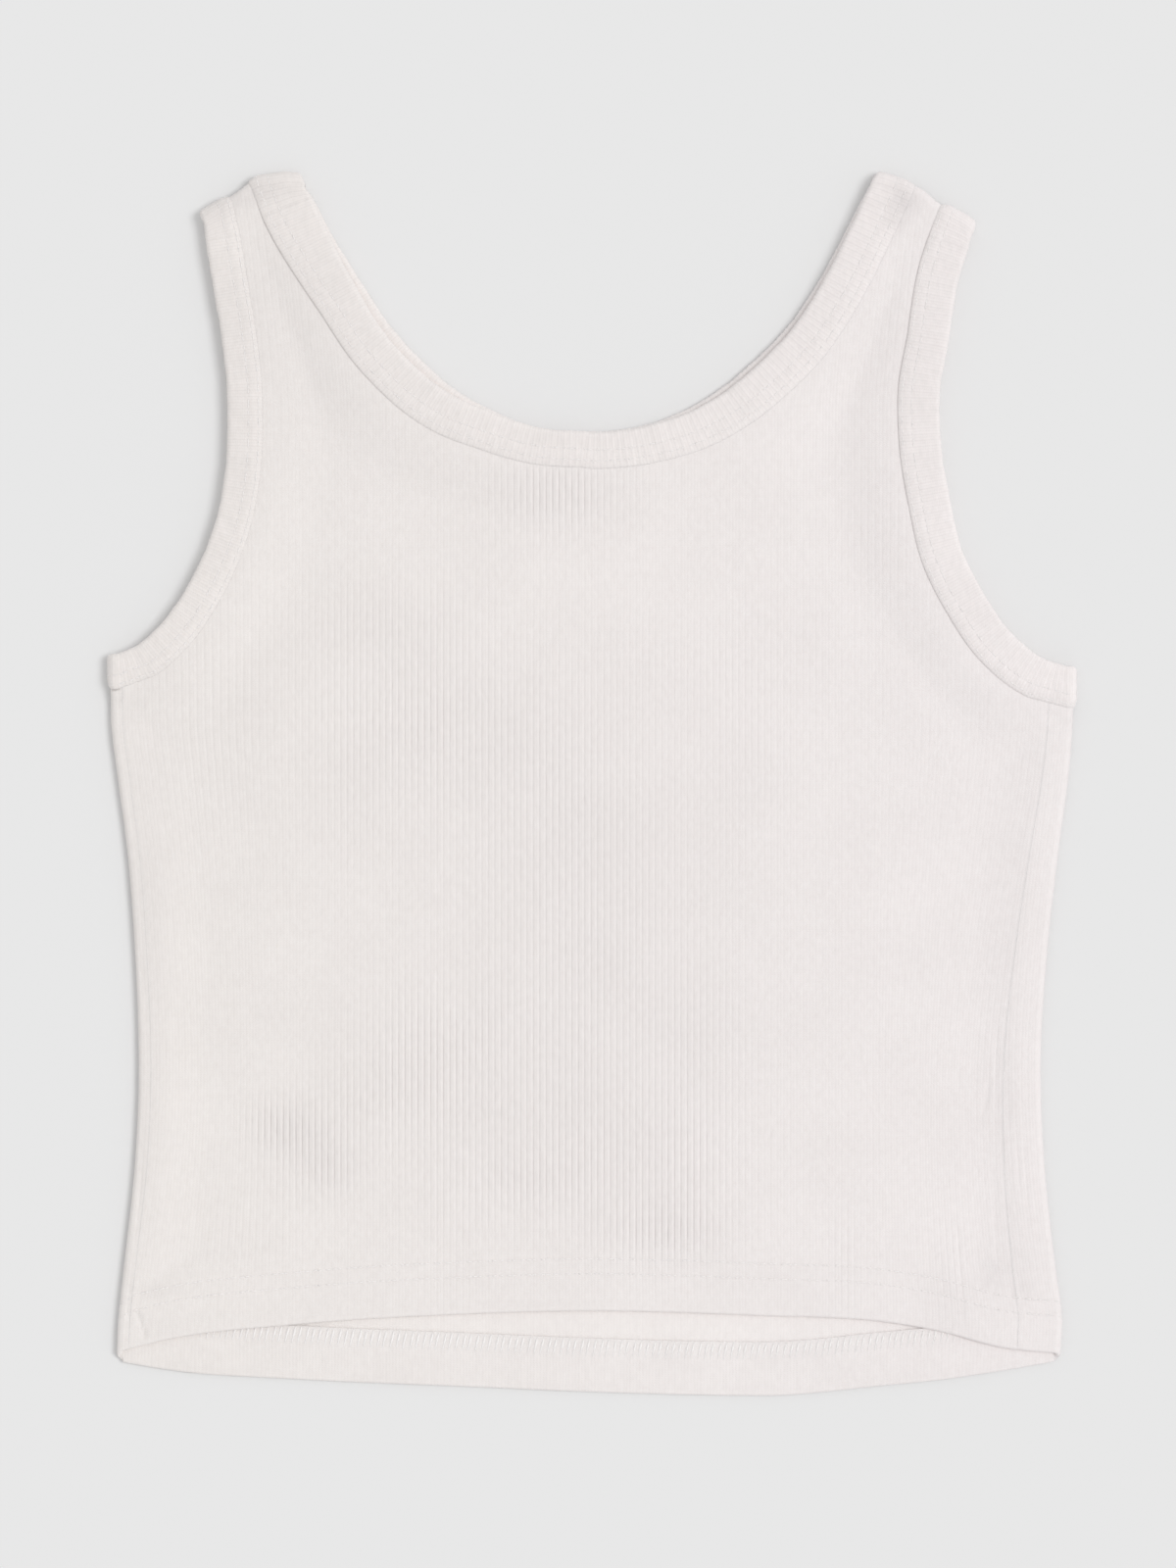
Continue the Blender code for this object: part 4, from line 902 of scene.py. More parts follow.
def rib_depth(x, y, rib, above):
    """How much the ribs stand out: more in some places, less on a doubled hem, never even."""
    waver = sum(share * np.sin(2 * math.pi * y / length + turn * rib / RIB_PITCH)
                for length, share, turn in RIB_WAVER)
    doubled = 1.0 - HEM_CALM * falloff(above, HEM_ROWS[1], HEM_ROWS[0])
    return (RIB_CALM + spread(x, y, RIB_GROUPS)) * doubled * (1.0 + waver)


def creased(x, y, creases):
    """The depth of narrow creases at points of a layer."""
    total = np.zeros(np.broadcast(x, y).shape)
    for start, end, wide, height in creases:
        chord = np.subtract(end, start)
        length = np.hypot(*chord)
        away = np.stack((x - start[0], y - start[1]), axis=-1)
        along = away @ chord / length
        beside = away @ np.array((-chord[1], chord[0])) / length
        part = np.clip(along / length, 0.0, 1.0)
        past = along - part * length
        taper = np.sin(math.pi * part) ** CREASE_TAPER
        total += height * taper * np.exp(-(beside / wide) ** 2 - (past / wide) ** 2)
    return total


def marks(x, y):
    """Creases and dimples of the upper layer."""
    return creased(x, y, CREASES) + spread(x, y, DIMPLES)


def rows_past(table, inner, outer):
    """Rows beyond the last one with room: where the rib starts to fade and where its room ends."""
    if not 0 <= outer < len(table):
        return []
    a, b = table[inner], table[outer]
    fall = a[2] - b[2]
    levels = [level for level in (RIB_FADE, 0.0) if a[2] - level > FADE_SLACK * fall]
    return [a + (b - a) * (a[2] - level) / fall for level in levels]


def rib_lines(panel, ribs, rows):
    """Lines along a panel's ribs where they have room, each with how far the cloth rises on it."""
    across, height = ribs
    foot = across + bend(across, np.full(across.shape, SEAM_FOOT_LEVEL), panel.sides)
    fold = panel.hem(foot)[:, None]
    t = fold + np.array(sorted(set(rows)))
    s = across[:, None] + bend(across[:, None], panel.level(fold, t), panel.sides)
    room = panel.room(s, t, fold)
    lines = []
    for k in range(len(across)):
        table = np.stack((s[k], t[k], room[k], np.full(len(t[k]), height[k])), axis=1)
        for start, stop in runs(room[k] > 0.0):
            before, after = rows_past(table, start, start - 1), rows_past(table, stop - 1, stop)
            line = np.array([*before[::-1], *table[start:stop], *after])
            if len(line) > 1:
                a, up, left, high = line.T
                rise = panel.rise(a, up, high, np.clip(left / RIB_FADE, 0.0, 1.0))
                lines.append(np.stack((a, up, rise * height.any()), axis=1))
    return lines


def back_room(x, t, fold):
    left, right = (side.seam(t) for side in BOTH)
    return np.minimum.reduce((
        clear_upper(x, t) - RIB_END,
        -over_shoulder(x, t)[0] - RIB_END,
        x - left - RIB_MARGIN,
        right - x - RIB_MARGIN,
    ))


def back_rise(x, t, high, fade):
    above = t - back_hem(x)
    return high * rib_depth(x, t, x[0], above) * fade + (ditch(above) + marks(x, t) * fade)


def front_room(s, t, fold):
    x, y, past = garment_spot(s, t)
    near = np.where(past < FOLD_TURN / 2, clear_lower(x, y), clear_upper(x, y))
    left, right = (side.seam_cut(y) for side in BOTH)
    return np.minimum.reduce((
        near - RIB_END,
        -over_shoulder(x, y)[0] - RIB_END,
        s - left - RIB_MARGIN,
        right - s - RIB_MARGIN,
        t - fold + HEM_BEND + HEM_DEPTH - RIB_MARGIN,
    ))


def front_rise(s, t, high, fade):
    x, y, past = garment_spot(s, t)
    above = t - front_hem_fold(s)
    inward = np.clip(1.0 - past / FOLD_TURN, 0.0, 1.0)
    inward *= np.clip(1.0 + above / HEM_BEND, 0.0, 1.0)
    rise = (high * rib_depth(x, y, s[0], above) - RIB_HEIGHT * inward) * fade + ditch(above)
    rise += marks(x, y) * (past > FOLD_TURN)
    return rise + creased(x, y, UNDER_CREASES) * (past < 0.0) * (above > 0.0)


def raw_edge_thinned(s, t):
    """How much the outer face of the front is drawn in towards the raw edge of its hem."""
    inside_edge = t - front_hem_fold(s) + HEM_BEND + HEM_DEPTH
    return RAW_THIN * falloff(inside_edge, 0.0, RAW_RUN)


def knit(panel, s, t):
    """For each point of a pattern: its rib in pitches, its place along it, its painted shade and greyer
    tone, and its relief.
    """
    level = panel.level(panel.hem(s), t)
    rib = s
    for _ in range(RIB_TURNS):
        rib = s - bend(rib, level, panel.sides)
    x, y, shade = panel.shade(s, t)
    return np.stack((rib / RIB_PITCH, t, shade, RIB_CALM + spread(x, y, RIB_GROUPS)), axis=1)


def front_shade(s, t):
    x, y, past = garment_spot(s, t)
    # Painted shade round the right side fold's rim, then the patches of painted shade and tone past the
    # fold
    rim = RIM_SHADE * (s > 0.0) * np.sin(np.clip(past / FOLD_RADIUS, 0.0, math.pi)) ** 2
    return x, y, rim + (past > FOLD_TURN) * spread(x, y, SHADE_AND_TONE_PATCHES)


BACK = SimpleNamespace(
    sides=(LEFT.seam, RIGHT.seam), hem=back_hem, level=lambda fold, t: t, room=back_room,
    rise=back_rise, place=place_back, thinned=lambda x, t: 0.0,
    shade=lambda x, t: (x, t, spread(x, t, SHADE_AND_TONE_PATCHES)),
)
FRONT = SimpleNamespace(
    sides=(LEFT.fold, RIGHT.fold), hem=front_hem_fold, level=hem_level, room=front_room,
    rise=front_rise, place=place_front, thinned=raw_edge_thinned, shade=front_shade,
)


# Walls

def triangulate(border, lines):
    """Triangles inside a border, with an edge along every line."""
    spots = [Vector(point) for point in border]
    rises = [0.0] * len(border)
    edges = []
    for line in lines:
        first = len(spots)
        spots += [Vector(row[:2]) for row in line]
        rises += [row[2] for row in line]
        edges += [(k, k + 1) for k in range(first, len(spots) - 1)]
    loop = list(range(len(border)))
    plan, _, faces, sources, _, _ = delaunay_2d_cdt(spots, edges, [loop], 1, MERGE_DISTANCE)
    used = sorted({k for face in faces for k in face})
    number = {k: index for index, k in enumerate(used)}
    place = {k: number[index] for index, source in enumerate(sources) for k in source
             if index in number}
    rise = np.array([rises[sources[k][0]] if sources[k] else 0.0 for k in used])
    plan = np.array([tuple(plan[k]) for k in used])
    faces = [[number[k] for k in face] for face in faces]
    return plan, rise, faces, [place[k] for k in loop]


def wall(name, panel, border, outer_lines, inner_lines, materials):
    """One closed wall: an outer and an inner face over the same border, joined round its rim."""
    spots, threads, faces, rims, sides = [], [], [], [], []
    for lines, way in ((outer_lines, 1.0), (inner_lines, -1.0)):
        plan, rise, triangles, rim = triangulate(border, lines)
        if way > 0.0:
            rise = rise - panel.thinned(*plan.T)
        first = len(spots)
        spots += list(panel.place(*plan.T, way * WALL / 2 + rise).T)
        threads += list(knit(panel, *plan.T))
        faces += [[first + k for k in triangle] for triangle in triangles]
        sides += [0 if way > 0.0 else len(materials) - 1] * len(triangles)
        rims.append([first + k for k in rim])
    outer, inner = rims
    faces += zip(outer, outer[1:] + outer[:1], inner[1:] + inner[:1], inner)
    piece = make_piece(name, spots, faces, threads, *materials)
    piece.data.polygons.foreach_set("material_index", sides + [0] * len(outer))
    return piece


def shoulder_ends(shoulder):
    """Each end of a shoulder fold: its place, the way out over the fold and the way inwards."""
    for at, way in ((0.0, 1.0), (shoulder.length, -1.0)):
        foot, out = shoulder.at(at)
        inner, _ = shoulder.at(at + way)
        yield foot, out, (inner - foot) / np.linalg.norm(inner - foot)


def rounded_corners(spots):
    """Draws the sharp corners at the strap tops in, as folded cloth rounds off there."""
    spots = spots.copy()
    for side, radii in zip(BOTH, CORNER_ROUNDS):
        for radius, (foot, out, inward) in zip(radii, shoulder_ends(side.shoulder)):
            away = spots[:, :2] - foot
            along = np.clip(away @ inward, 0.0, radius)
            below = np.clip(FOLD_RADIUS + BAND_HALF - away @ out, 0.0, None)
            near = np.hypot(*away.T) < CORNER_REACH
            drop = radius - np.sqrt(radius**2 - (radius - along) ** 2)
            drop *= near * falloff(below, 0.0, CORNER_RUN)
            spots[:, :2] -= drop[:, None] * out
    return spots


def shown(name, data):
    """A new object in the scene."""
    made = bpy.data.objects.new(name, data)
    bpy.context.scene.collection.objects.link(made)
    return made


def make_piece(name, spots, faces, threads, *materials):
    """An object in the frame's place, flat where it rests, its knit kept on its points."""
    spots = rounded_corners(np.array(spots)) - np.array(BOX_CENTRE)
    spots[:, 2] = np.maximum(spots[:, 2], 0.0)
    spots *= MM
    mesh = bpy.data.meshes.new(name)
    mesh.from_pydata(spots.tolist(), [], faces)
    shape = bmesh.new()
    shape.from_mesh(mesh)
    bmesh.ops.recalc_face_normals(shape, faces=shape.faces[:])
    shape.to_mesh(mesh)
    shape.free()
    mesh.shade_smooth()
    mesh.set_sharp_from_angle(angle=SHARP_ANGLE)
    if threads is not None:
        threads = np.array(threads, np.float32)
        kept = mesh.attributes.new("knit", "FLOAT_VECTOR", "POINT")
        kept.data.foreach_set("vector", threads[:, :3].ravel())
        kept = mesh.attributes.new("relief", "FLOAT", "POINT")
        kept.data.foreach_set("value", threads[:, 3].copy())
    for material in materials:
        mesh.materials.append(material)
    piece = shown(name, mesh)
    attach(piece, "root")
    return piece


def build_back(material):
    """The back's wall, and its border in the pattern."""
    border = bordered(back_side, neck_back, back_raw_edge)
    shared = shoulder_lines(border)
    across = even(border[0][0], float(RIGHT.seam(SEAM_FOOT_LEVEL)), BORDER_STEP)
    for level in HEM_TURNS[FOLD_STEPS // 2:]:
        line = np.stack((across, back_hem(across) + level), axis=1)
        shared += flat_parts(line, inside(border, line))
    edge = HEM_TURNS[:FOLD_STEPS // 2 + 1]
    ribs = rib_lines(BACK, rib_set(-RIB_REACH, RIB_REACH), [*edge, *rows_above(ROW_STEP)])
    columns = plain_set(even(-RIB_REACH, RIB_REACH, PLAIN_PITCH))
    plain = rib_lines(BACK, columns, [*edge, *even(0.0, RIB_LENGTH, PLAIN_ROW_STEP)])
    gaps = [BAND_CLEARANCE + UPPER_RAMP * k / RAMP_STEPS for k in range(RAMP_STEPS + 1)]
    plain += contour_lines(border, UPPER_EDGES, gaps)
    return wall("back_cloth", BACK, border, ribs + shared, plain + shared, [material]), border


def build_front(materials):
    """The front's wall, and its border in the pattern."""
    border = bordered(front_side, neck_front, front_raw_edge)
    rows = [*even(HEM_TURNS[-1] - HEM_DEPTH + RIB_MARGIN, HEM_TURNS[-1], ROW_STEP), *HEM_TURNS]
    low, high = (float(side.seam_cut(RIB_BEND_LEVEL)) + side.way * SIDE_MARGIN for side in BOTH)
    ribs = rib_lines(FRONT, rib_set(low, high), [*rows, *rows_above(UNDER_ROW_STEP)])
    folds = [float(side.fold(RIB_BEND_LEVEL)) + side.way * past
             for side in BOTH for past in FOLD_TURNS]
    field = even(folds[0] + PLAIN_PITCH, -folds[0] - PLAIN_PITCH, PLAIN_PITCH)
    levels = even(0.0, RIB_LENGTH, PLAIN_ROW_STEP)
    plain = rib_lines(FRONT, plain_set([*folds, *field]), [*rows, *levels])
    gaps = [BAND_CLEARANCE + LOWER_RAMP * part for part in (0.0, 0.5, 1.0)]
    plain += contour_lines(border, LOWER_EDGES, gaps)
    shared = shoulder_lines(border)
    return wall("front_cloth", FRONT, border, shared + ribs, shared + plain, materials), border


# Bands

def band_profile(width, rows, soft=0.0):
    """The section of a band: distance in from the free edge, height from its middle, and relief."""
    near, far = rows
    rest = np.linspace(far + 2 * DITCH_HALF, width - BAND_HALF, 3)
    top = np.array([
        *BAND_LIP, (near - DITCH_HALF / 2, 0.0, 1.0), (near, -DITCH, ROW_RELIEF),
        (near + DITCH_HALF, ROW_SIDE, 1.0), ((near + far) / 2, PILLOW, 1.0),
        (far - DITCH_HALF, ROW_SIDE, 1.0), (far, -DITCH, ROW_RELIEF),
        (far + DITCH_HALF, ROW_SIDE, 1.0), *((inset, ROW_SIDE, 1.0) for inset in rest),
    ])
    top[:, 1] += BAND_HALF - soft * EDGE_DROP * falloff(top[:, 0], 0.0, EDGE_RUN)
    top[:, 0] = width - top[:, 0]
    angles = np.linspace(0.0, math.pi, ROUND_STEPS + 1)[1:-1]
    round_edge = [(BAND_HALF * (1.0 - math.sin(a)), BAND_HALF * math.cos(a), 1.0) for a in angles]
    under = [(BAND_HALF, -BAND_HALF, UNDER_RELIEF), (width, -BAND_HALF, 0.0)]
    half = BAND_HALF - WALL
    slot = [(width, -half, 0.0), (WALL, -half, 0.0), (WALL, half, 0.0),
            (width, half - soft * EDGE_LIP, 0.0)]
    return np.vstack((top, round_edge, under, slot))


def flat_section(line, along, up, rows, edge):
    """A section of a band on one layer: up is +1 on the upper layer and -1 on the lower."""
    point, normal = line.at(np.array([along]))
    width = float(np.interp(along, line.along, line.width))
    middle = UPPER_BAND if up > 0 else LOWER_BAND
    soft = float(np.interp(along / line.length, *np.transpose(edge)))
    inset, height, _ = band_profile(width, rows, soft).T
    return np.vstack((point + inset * normal, middle + up * height)).T


def fold_section(foot, angle, width, rows):
    """A section of a band at an angle round a fold: 0 is on top and pi is underneath."""
    middle = (UPPER_BAND + LOWER_BAND) / 2
    section = []
    for inset, height, _ in band_profile(width, rows, 1.0):
        point, out = foot(inset)
        radius = FOLD_RADIUS + height
        section.append((*(point + out * radius * math.sin(angle)), middle + radius * math.cos(angle)))
    return np.array(section)


def sections_of(upper, lower, rows, edge, first, last):
    """Sections of a band: on the upper layer, round a fold, back on the lower, round another."""
    return [
        *(flat_section(upper, along, 1.0, rows, edge) for along in stations(upper)),
        *(fold_section(first, angle, upper.width[-1], rows) for angle in FOLD_ANGLES),
        *(flat_section(lower, along, -1.0, rows, UNDER_SOFT) for along in stations(lower)[::-1]),
        *(fold_section(last, angle, lower.width[0], rows) for angle in FOLD_ANGLES[::-1]),
    ]


def armhole_sections(side, edge):
    corner = side.arm.points[-1]
    return sections_of(
        side.arm, side.arm, ARM_ROWS, edge,
        lambda inset: (corner - np.array((0.0, inset)), np.array((side.way, 0.0))),
        side.shoulder.at,
    )


def neck_sections():
    return sections_of(
        neck_back, neck_front, NECK_ROWS, NECK_SOFT,
        lambda inset: RIGHT.shoulder.at(RIGHT.shoulder.length - inset),
        lambda inset: LEFT.shoulder.at(LEFT.shoulder.length - inset),
    )


def rings(here, there):
    """Four-sided faces between closed rows of points and the rows after them."""
    faces = np.stack((here, there, np.roll(there, -1, -1), np.roll(here, -1, -1)), axis=-1)
    return faces.reshape(-1, 4).tolist()


def band(name, sections, rows, material):
    """A closed loop through its sections with the cross ribs raised on it, and its needle rows."""
    loop = np.array(sections + sections[:1])
    along = added_up(np.linalg.norm(np.diff(loop[:, LENGTH_POINT], axis=0), axis=1))
    count = round(along[-1] / BAND_RIB_PITCH) * BAND_RIB_STEPS
    at = np.linspace(0.0, along[-1], count, endpoint=False)
    size = loop.shape[1]
    grid = np.array([between(at, along, loop[:, j]) for j in range(size)]).transpose(2, 0, 1)
    normals = unit(np.cross(np.roll(grid, -1, 0) - np.roll(grid, 1, 0),
                            np.roll(grid, -1, 1) - np.roll(grid, 1, 1)), 2)
    normals *= np.sign(normals[0, UP_POINT, 2])
    inset, _, relief = band_profile(SAMPLE_WIDTH, rows).T
    wave = BAND_RIB_HEIGHT * 0.5 * np.cos(2 * math.pi * np.arange(count) / BAND_RIB_STEPS)
    pucker = sum(
        height * np.sin(2 * math.pi * at[:, None] / length + turn + slant * np.arange(size))
        for length, height, turn, slant in PUCKERS
    )
    grid = grid + normals * ((wave[:, None] + pucker) * relief)[..., None]
    index = np.arange(count * size).reshape(count, size)
    across = np.cumsum(np.linalg.norm(np.diff(grid[0], axis=0, prepend=grid[0][:1]), axis=1))
    # Painted shade and greyer tone on the top of each band, from the same patches as the upper layer
    shade = spread(grid[..., 0], grid[..., 1], SHADE_AND_TONE_PATCHES) * (grid[..., 2] > FOLD_RADIUS + BAND_HALF)
    threads = (at[:, None] / BAND_RIB_PITCH, across[None], shade, BAND_RELIEF)
    threads = np.stack(np.broadcast_arrays(*threads), axis=-1).reshape(-1, 4)
    faces = rings(index, np.roll(index, -1, 0))
    made = make_piece(name, grid.reshape(-1, 3), faces, threads, material)
    needle = [int(np.argmin(np.abs(inset[:TOP_POINTS] - (SAMPLE_WIDTH - row)))) for row in rows]
    return made, [(grid[:, j], normals[:, j]) for j in needle]


# Sewing

def tubes(name, paths, normals, radius, material):
    """Closed tubes of the same number of rings, one along each row of points."""
    paths = np.dstack((paths[..., :2], np.maximum(paths[..., 2], radius)))
    runs_along = np.gradient(paths, axis=1)
    sides = unit(np.cross(runs_along, normals), 2)
    tops = unit(np.cross(sides, runs_along), 2)
    angles = 2 * math.pi * np.arange(THREAD_SIDES)[:, None] / THREAD_SIDES
    ring = np.cos(angles) * tops[:, :, None] + np.sin(angles) * sides[:, :, None]
    spots = paths[:, :, None] + radius * ring
    index = np.arange(spots.size // 3).reshape(spots.shape[:3])
    faces = rings(index[:, :-1], index[:, 1:]) + index[:, 0, ::-1].tolist() + index[:, -1].tolist()
    return make_piece(name, spots.reshape(-1, 3), faces, None, material)


def stitches(path, normals, closed):
    """Where each stitch of a needle row runs: it dips into the cloth at both of its ends."""
    if closed:
        path, normals = (np.vstack((row, row[:1])) for row in (path, normals))
    along = added_up(np.linalg.norm(np.diff(path, axis=0), axis=1))
    count = int(along[-1] / STITCH_PITCH)
    order = np.arange(count)[:, None]
    shift = 0.5 * (1.0 - STITCH_SPAN) + STITCH_JITTER * np.sin(UNEVEN_TURNS[0] * order)
    span = STITCH_SPAN * (1.0 - STITCH_JITTER * (1.0 + np.sin(UNEVEN_TURNS[1] * order)))
    at = np.clip((order + shift + span * STITCH_PARTS) * along[-1] / count, 0.0, along[-1])
    spots, out = (np.moveaxis(between(at, along, rows), 0, -1) for rows in (path, normals))
    out = unit(out, 2)
    return spots + out * STITCH_DEPTHS[:, None], out


def sew(name, rows, closed, material):
    made = [stitches(path, normals, closed) for path, normals in rows]
    spots, out = (np.concatenate(parts) for parts in zip(*made))
    return tubes(name, spots, out, THREAD_RADIUS, material)


def raised(place, across, t, height):
    """Places in or above a panel's cloth, with the way out of it there."""
    spots = place(across, t, height)
    return spots.T, (place(across, t, height + 1.0) - spots).T


def hem_seams(panel, border, offset):
    """The two needle rows of a hem, from one side seam to the other."""
    low, high = min(p[0] for p in border[:SEAM_FOOT_POINTS]), max(p[0] for p in border)
    across = even(low + SEAM_END, high - SEAM_END, HEM_PATH_STEP)
    return [raised(panel.place, across, panel.hem(across) + above, WALL / 2 + offset)
            for above in HEM_ROWS]


def rungs(low, high):
    """The slanted looper threads between the needle rows, on the inside of the front's hem."""
    count = int((high - low) / RUNG_PITCH)
    order = np.arange(count)[:, None]
    aside, above = (size * np.sin(turn * order) for size, turn in zip(RUNG_JITTER, UNEVEN_TURNS))
    part = np.linspace(0.0, 1.0, RUNG_RINGS)
    foot, top = (row + way * RUNG_REACH for row, way in zip(HEM_ROWS, (-1.0, 1.0)))
    across = low + RUNG_PITCH * (order + aside) + RUNG_SLANT * part
    t = front_hem_fold(across) - HEM_BEND - (foot + (top - foot) * part + above)
    sunk = RUNG_RISE - RUNG_SINK * (2.0 * part - 1.0) ** 4
    sunk = sunk + np.interp(across, *np.transpose(RUNG_FADE)) - raw_edge_thinned(across, t)
    made = raised(place_front, across.ravel(), t.ravel(), (WALL / 2 + sunk).ravel())
    return [rows.reshape(count, -1, 3) for rows in made]


# Materials

class Surface:
    """A new material, its shader set from a table, to which nodes are added."""

    def __init__(self, name, settings):
        self.material = bpy.data.materials.new(name)
        self.material.use_nodes = True
        self.tree = self.material.node_tree
        self.feed(self.tree.nodes["Principled BSDF"], settings)

    def feed(self, node, values):
        """Sets or links inputs of a node, by their names or places."""
        for key, value in values.items():
            if isinstance(value, bpy.types.NodeSocket):
                self.tree.links.new(value, node.inputs[key])
            else:
                node.inputs[key].default_value = value

    def add(self, kind, inputs, **settings):
        """The outputs of a new node. What it is set to comes first, since it can change its inputs."""
        node = self.tree.nodes.new("ShaderNode" + kind)
        for key, value in settings.items():
            setattr(node, key, value)
        self.feed(node, inputs)
        return node.outputs

    def calc(self, operation, *values):
        return self.add("Math", dict(enumerate(values)), operation=operation)[0]

    def times(self, first, second):
        return self.calc("MULTIPLY", first, second)

    def noise(self, spot, scale, detail):
        return self.add("TexNoise", {"Vector": spot, "Scale": scale, "Detail": detail})["Fac"]

    def bump(self, height, strength, distance, **under):
        inputs = {"Height": height, "Strength": strength, "Distance": distance, **under}
        return self.add("Bump", inputs)["Normal"]

    def mixed(self, part, first, second, blend="MIX"):
        inputs = {"Factor": part, "A": first, "B": second}
        return self.add("Mix", inputs, data_type="RGBA", blend_type=blend)["Result"]

    def ranged(self, value, low, high, out_low, out_high):
        inputs = {"Value": value, "From Min": low, "From Max": high,
                  "To Min": out_low, "To Max": out_high}
        return self.add("MapRange", inputs)["Result"]

    def finished(self, colour, normal):
        """The material, once its colour and its normal are linked."""
        shader = self.tree.nodes["Principled BSDF"]
        self.feed(shader, {"Base Color": colour, "Normal": normal})
        return self.material


def cloth_material(name, tones):
    """Cotton rib knit: two wales of V stitches to a rib, soft fuzz, a faint unevenness of tone, painted
    shade and painted light.
    """
    made = Surface(name, CLOTH_SURFACE)
    spot = made.add("TexCoord", {})["Object"]
    kept = made.add("Attribute", {}, attribute_name="knit")["Vector"]
    relief = made.add("Attribute", {}, attribute_name="relief")["Fac"]
    rib, row, shade = made.add("SeparateXYZ", {0: kept})
    wale = made.calc("FRACT", made.times(rib, WALES))
    aside = made.calc("ABSOLUTE", made.calc("MULTIPLY_ADD", wale, 2.0, -1.0))
    slanted = made.calc("MULTIPLY_ADD", aside, STITCH_SLANT, made.times(row, 1.0 / STITCH_HEIGHT))
    loop = made.calc("SINE", made.times(slanted, 2.0 * math.pi))
    rounded = made.calc("SUBTRACT", 1.0, made.times(aside, aside))
    stitch = made.bump(made.calc("MULTIPLY_ADD", loop, STITCH_RELIEF, rounded), *STITCH_BUMP)
    fuzz = made.bump(made.noise(spot, *FUZZ_NOISE), *FUZZ_BUMP, Normal=stitch)
    streaked = made.add("VectorMath", {0: spot, 1: STREAK}, operation="MULTIPLY")[0]
    cloud = made.ranged(made.noise(spot, *CLOUD_NOISE), *CLOUD_RANGE)
    speck = made.ranged(made.noise(streaked, *SPECK_NOISE), *SPECK_RANGE)
    # Painted shade: darker in each rib's groove and in the shallow dip down its middle, more where the
    # ribs stand out more, plus the painted shade and tone carried on the points
    beside = made.calc("PINGPONG", rib, 0.5)
    groove = made.ranged(beside, 0.0, GROOVE_HALF, 1.0, 0.0)
    middle = made.ranged(beside, 0.5 - GROOVE_HALF, 0.5, 0.0, MID_DIP_SHADE)
    depth = made.times(relief, GROOVE_SHADE)
    lines = made.calc("ADD", made.times(made.calc("ADD", groove, middle), depth), shade)
    # Painted light across the garment: darker to the left, lighter to the right
    side = made.ranged(made.add("SeparateXYZ", {0: spot})[0], -CAST_REACH, CAST_REACH, 0.0, 1.0)
    uneven = made.mixed(made.calc("ADD", cloud, speck), *tones)
    cloth = made.mixed(1.0, uneven, made.mixed(side, *SIDE_LIGHT_CASTS), "MULTIPLY")
    return made.finished(made.mixed(lines, cloth, SHADE_AND_TONE_COLOUR), fuzz)


def thread_material():
    """Sewing thread with the slant of its twist."""
    made = Surface("sewing_thread", CLOTH_SURFACE)
    spot = made.add("TexCoord", {})["Object"]
    twist = made.add("TexWave", {"Vector": spot, "Scale": TWIST_SCALE}, wave_type="BANDS",
                     bands_direction="DIAGONAL")["Fac"]
    return made.finished(made.mixed(twist, *THREAD_TONES), made.bump(twist, *TWIST_BUMP))


# Floor, light and camera

def build_stage():
    shape = bmesh.new()
    bmesh.ops.create_grid(shape, x_segments=1, y_segments=1, size=GROUND_HALF)
    mesh = bpy.data.meshes.new("ground")
    shape.to_mesh(mesh)
    shape.free()
    mesh.materials.append(Surface("ground", GROUND_SURFACE).material)
    ground = shown("ground", mesh)
    ground.location.z = -GROUND_DROP


def build_light():
    bpy.context.scene.view_settings.view_transform = "Standard"
    world = bpy.data.worlds.new("studio")
    world.use_nodes = True
    world.node_tree.nodes["Background"].inputs["Color"].default_value = SKY_COLOUR
    world.node_tree.nodes["Background"].inputs["Strength"].default_value = SKY_STRENGTH
    bpy.context.scene.world = world
    lamp = bpy.data.lights.new("key", "SUN")
    lamp.energy = SUN_STRENGTH
    lamp.angle = SUN_SPREAD
    shown("key", lamp).rotation_euler = Vector(SUN_FROM).to_track_quat("Z", "Y").to_euler()


def build_camera():
    lens = bpy.data.cameras.new("camera")
    lens.sensor_width = CAMERA_SENSOR
    lens.lens = CAMERA_SENSOR * CAMERA_HEIGHT / FRAME_HEIGHT
    camera = shown("camera", lens)
    camera.location = CAMERA_SPOT
    bpy.context.scene.camera = camera


# Assembly

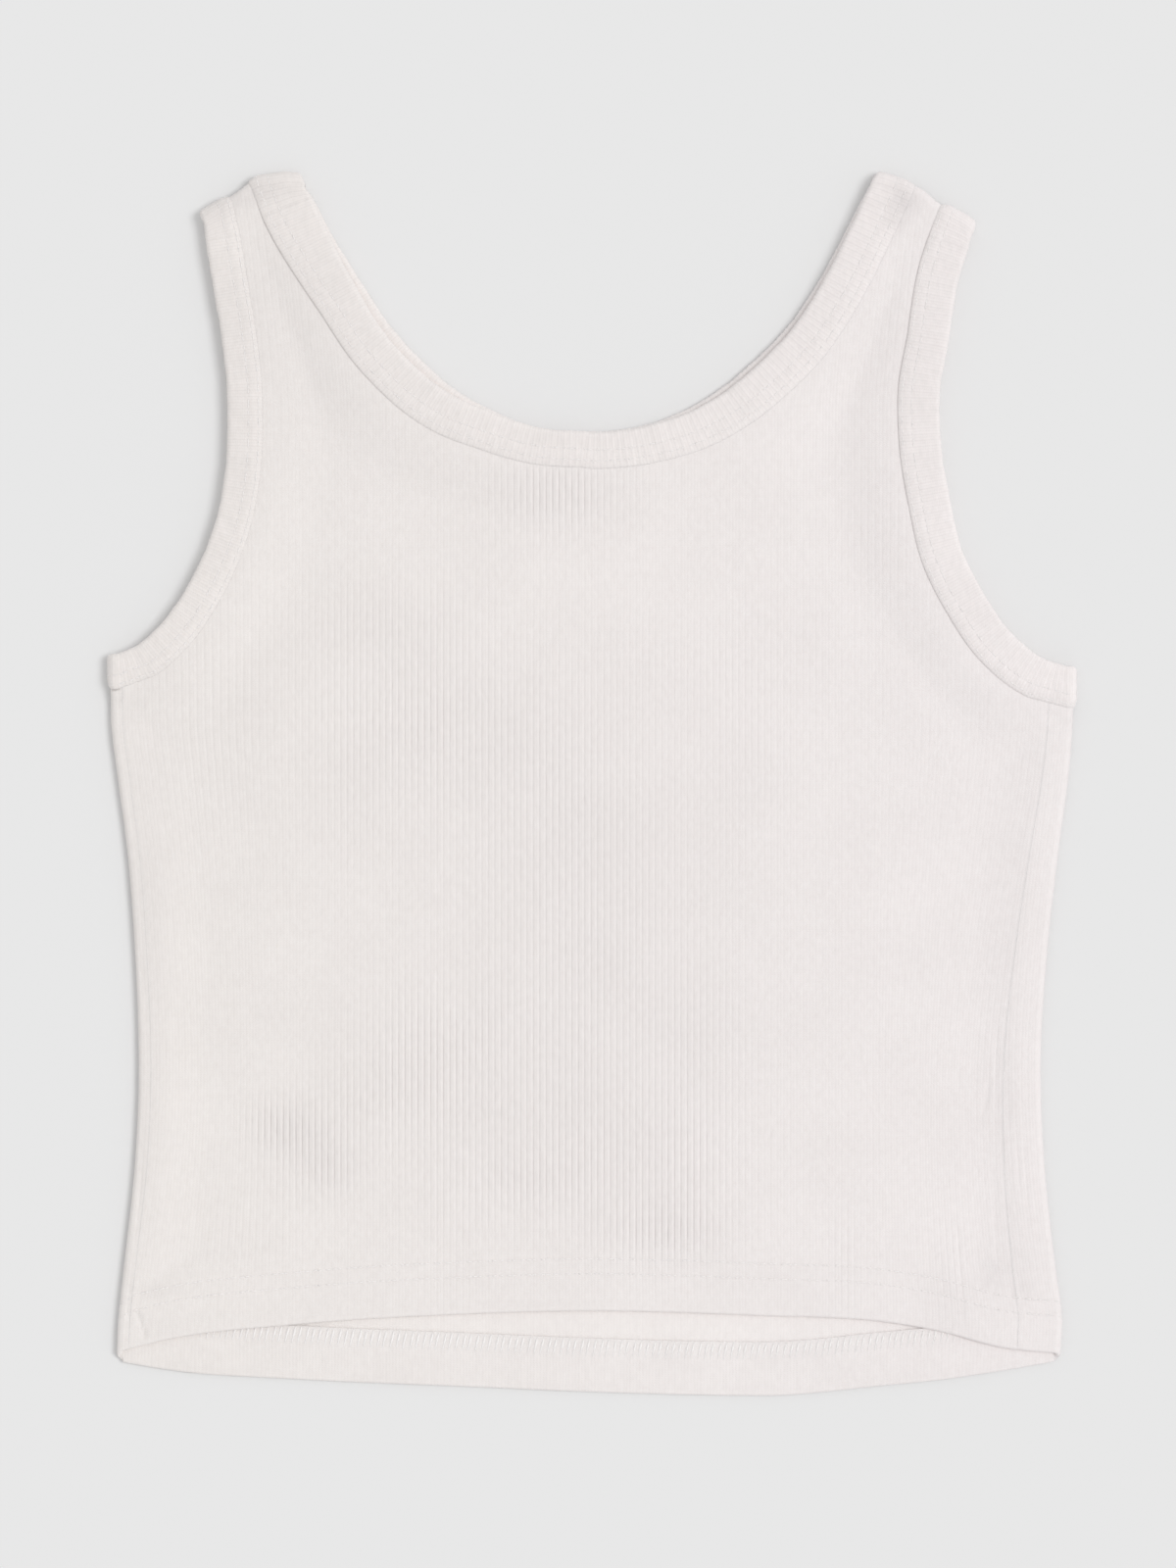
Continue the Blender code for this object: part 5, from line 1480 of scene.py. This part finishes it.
def cut_of(border):
    """Width and length, then area, of a panel's cut, in metres."""
    x, y = (np.array(border) * MM).T
    area = 0.5 * abs(np.sum(x * np.roll(y, -1) - y * np.roll(x, -1)))
    return (float(np.ptp(x)), float(np.ptp(y))), float(area)


def strip_of(lines):
    """Usual width and length of the strip that a band is cut from, in metres."""
    width = float(np.median(np.concatenate([line.width for line in lines])))
    length = sum(line.length for line in lines) + 2 * FOLD_TURN
    return (2 * (width - BAND_HALF) + math.pi * (BAND_HALF - WALL / 2)) * MM, length * MM


def declare(piece, node, slot, flat, area, lies_on, sewing):
    """Hides the part of the frame that a cloth piece stands for."""
    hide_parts(node)
    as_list(lies_on)
    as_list(sewing)
    for item in sewing:
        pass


def main():
    build_camera()
    build_stage()
    build_light()
    cloth = cloth_material("rib_cotton", CLOTH_TONES)
    binding = cloth_material("rib_binding", BAND_TONES)
    thread = thread_material()
    back, back_rim = build_back(cloth)
    # The front's inner face takes the lighter copy of the cloth, painted light
    front, front_rim = build_front([cloth, cloth_material("rib_inside_lit", INSIDE_LIT_TONES)])
    back_rows = hem_seams(BACK, back_rim, RIB_HEIGHT / 2)
    back_sewing = [sew("back_hem_stitches", back_rows, False, thread)]
    front_rows = hem_seams(FRONT, front_rim, -RIB_HEIGHT)
    front_sewing = [sew("front_hem_stitches", front_rows, False, thread)]
    front_sewing.append(tubes("front_hem_looper", *rungs(*LOOPER_RANGE), RUNG_RADIUS, thread))
    declare(front, "front_panel", "rib_knit", *cut_of(front_rim), [], front_sewing)
    declare(back, "back_panel", "rib_knit", *cut_of(back_rim), [front], back_sewing)
    loops = (
        ("neck", "neck_binding", neck_sections(), NECK_ROWS, (neck_back, neck_front)),
        ("left_armhole", "armhole_binding_left",
         armhole_sections(LEFT, LEFT_ARM_SOFT), ARM_ROWS, (LEFT.arm, LEFT.arm)),
        ("right_armhole", "armhole_binding_right",
         armhole_sections(RIGHT, RIGHT_ARM_SOFT), ARM_ROWS, (RIGHT.arm, RIGHT.arm)),
    )
    for name, node, sections, rows, lines in loops:
        made, paths = band(name + "_band", sections, rows, binding)
        sewing = [sew(name + "_stitches", paths, True, thread)]
        declare(made, node, "rib_band", strip_of(lines), None, [front], sewing)


main()
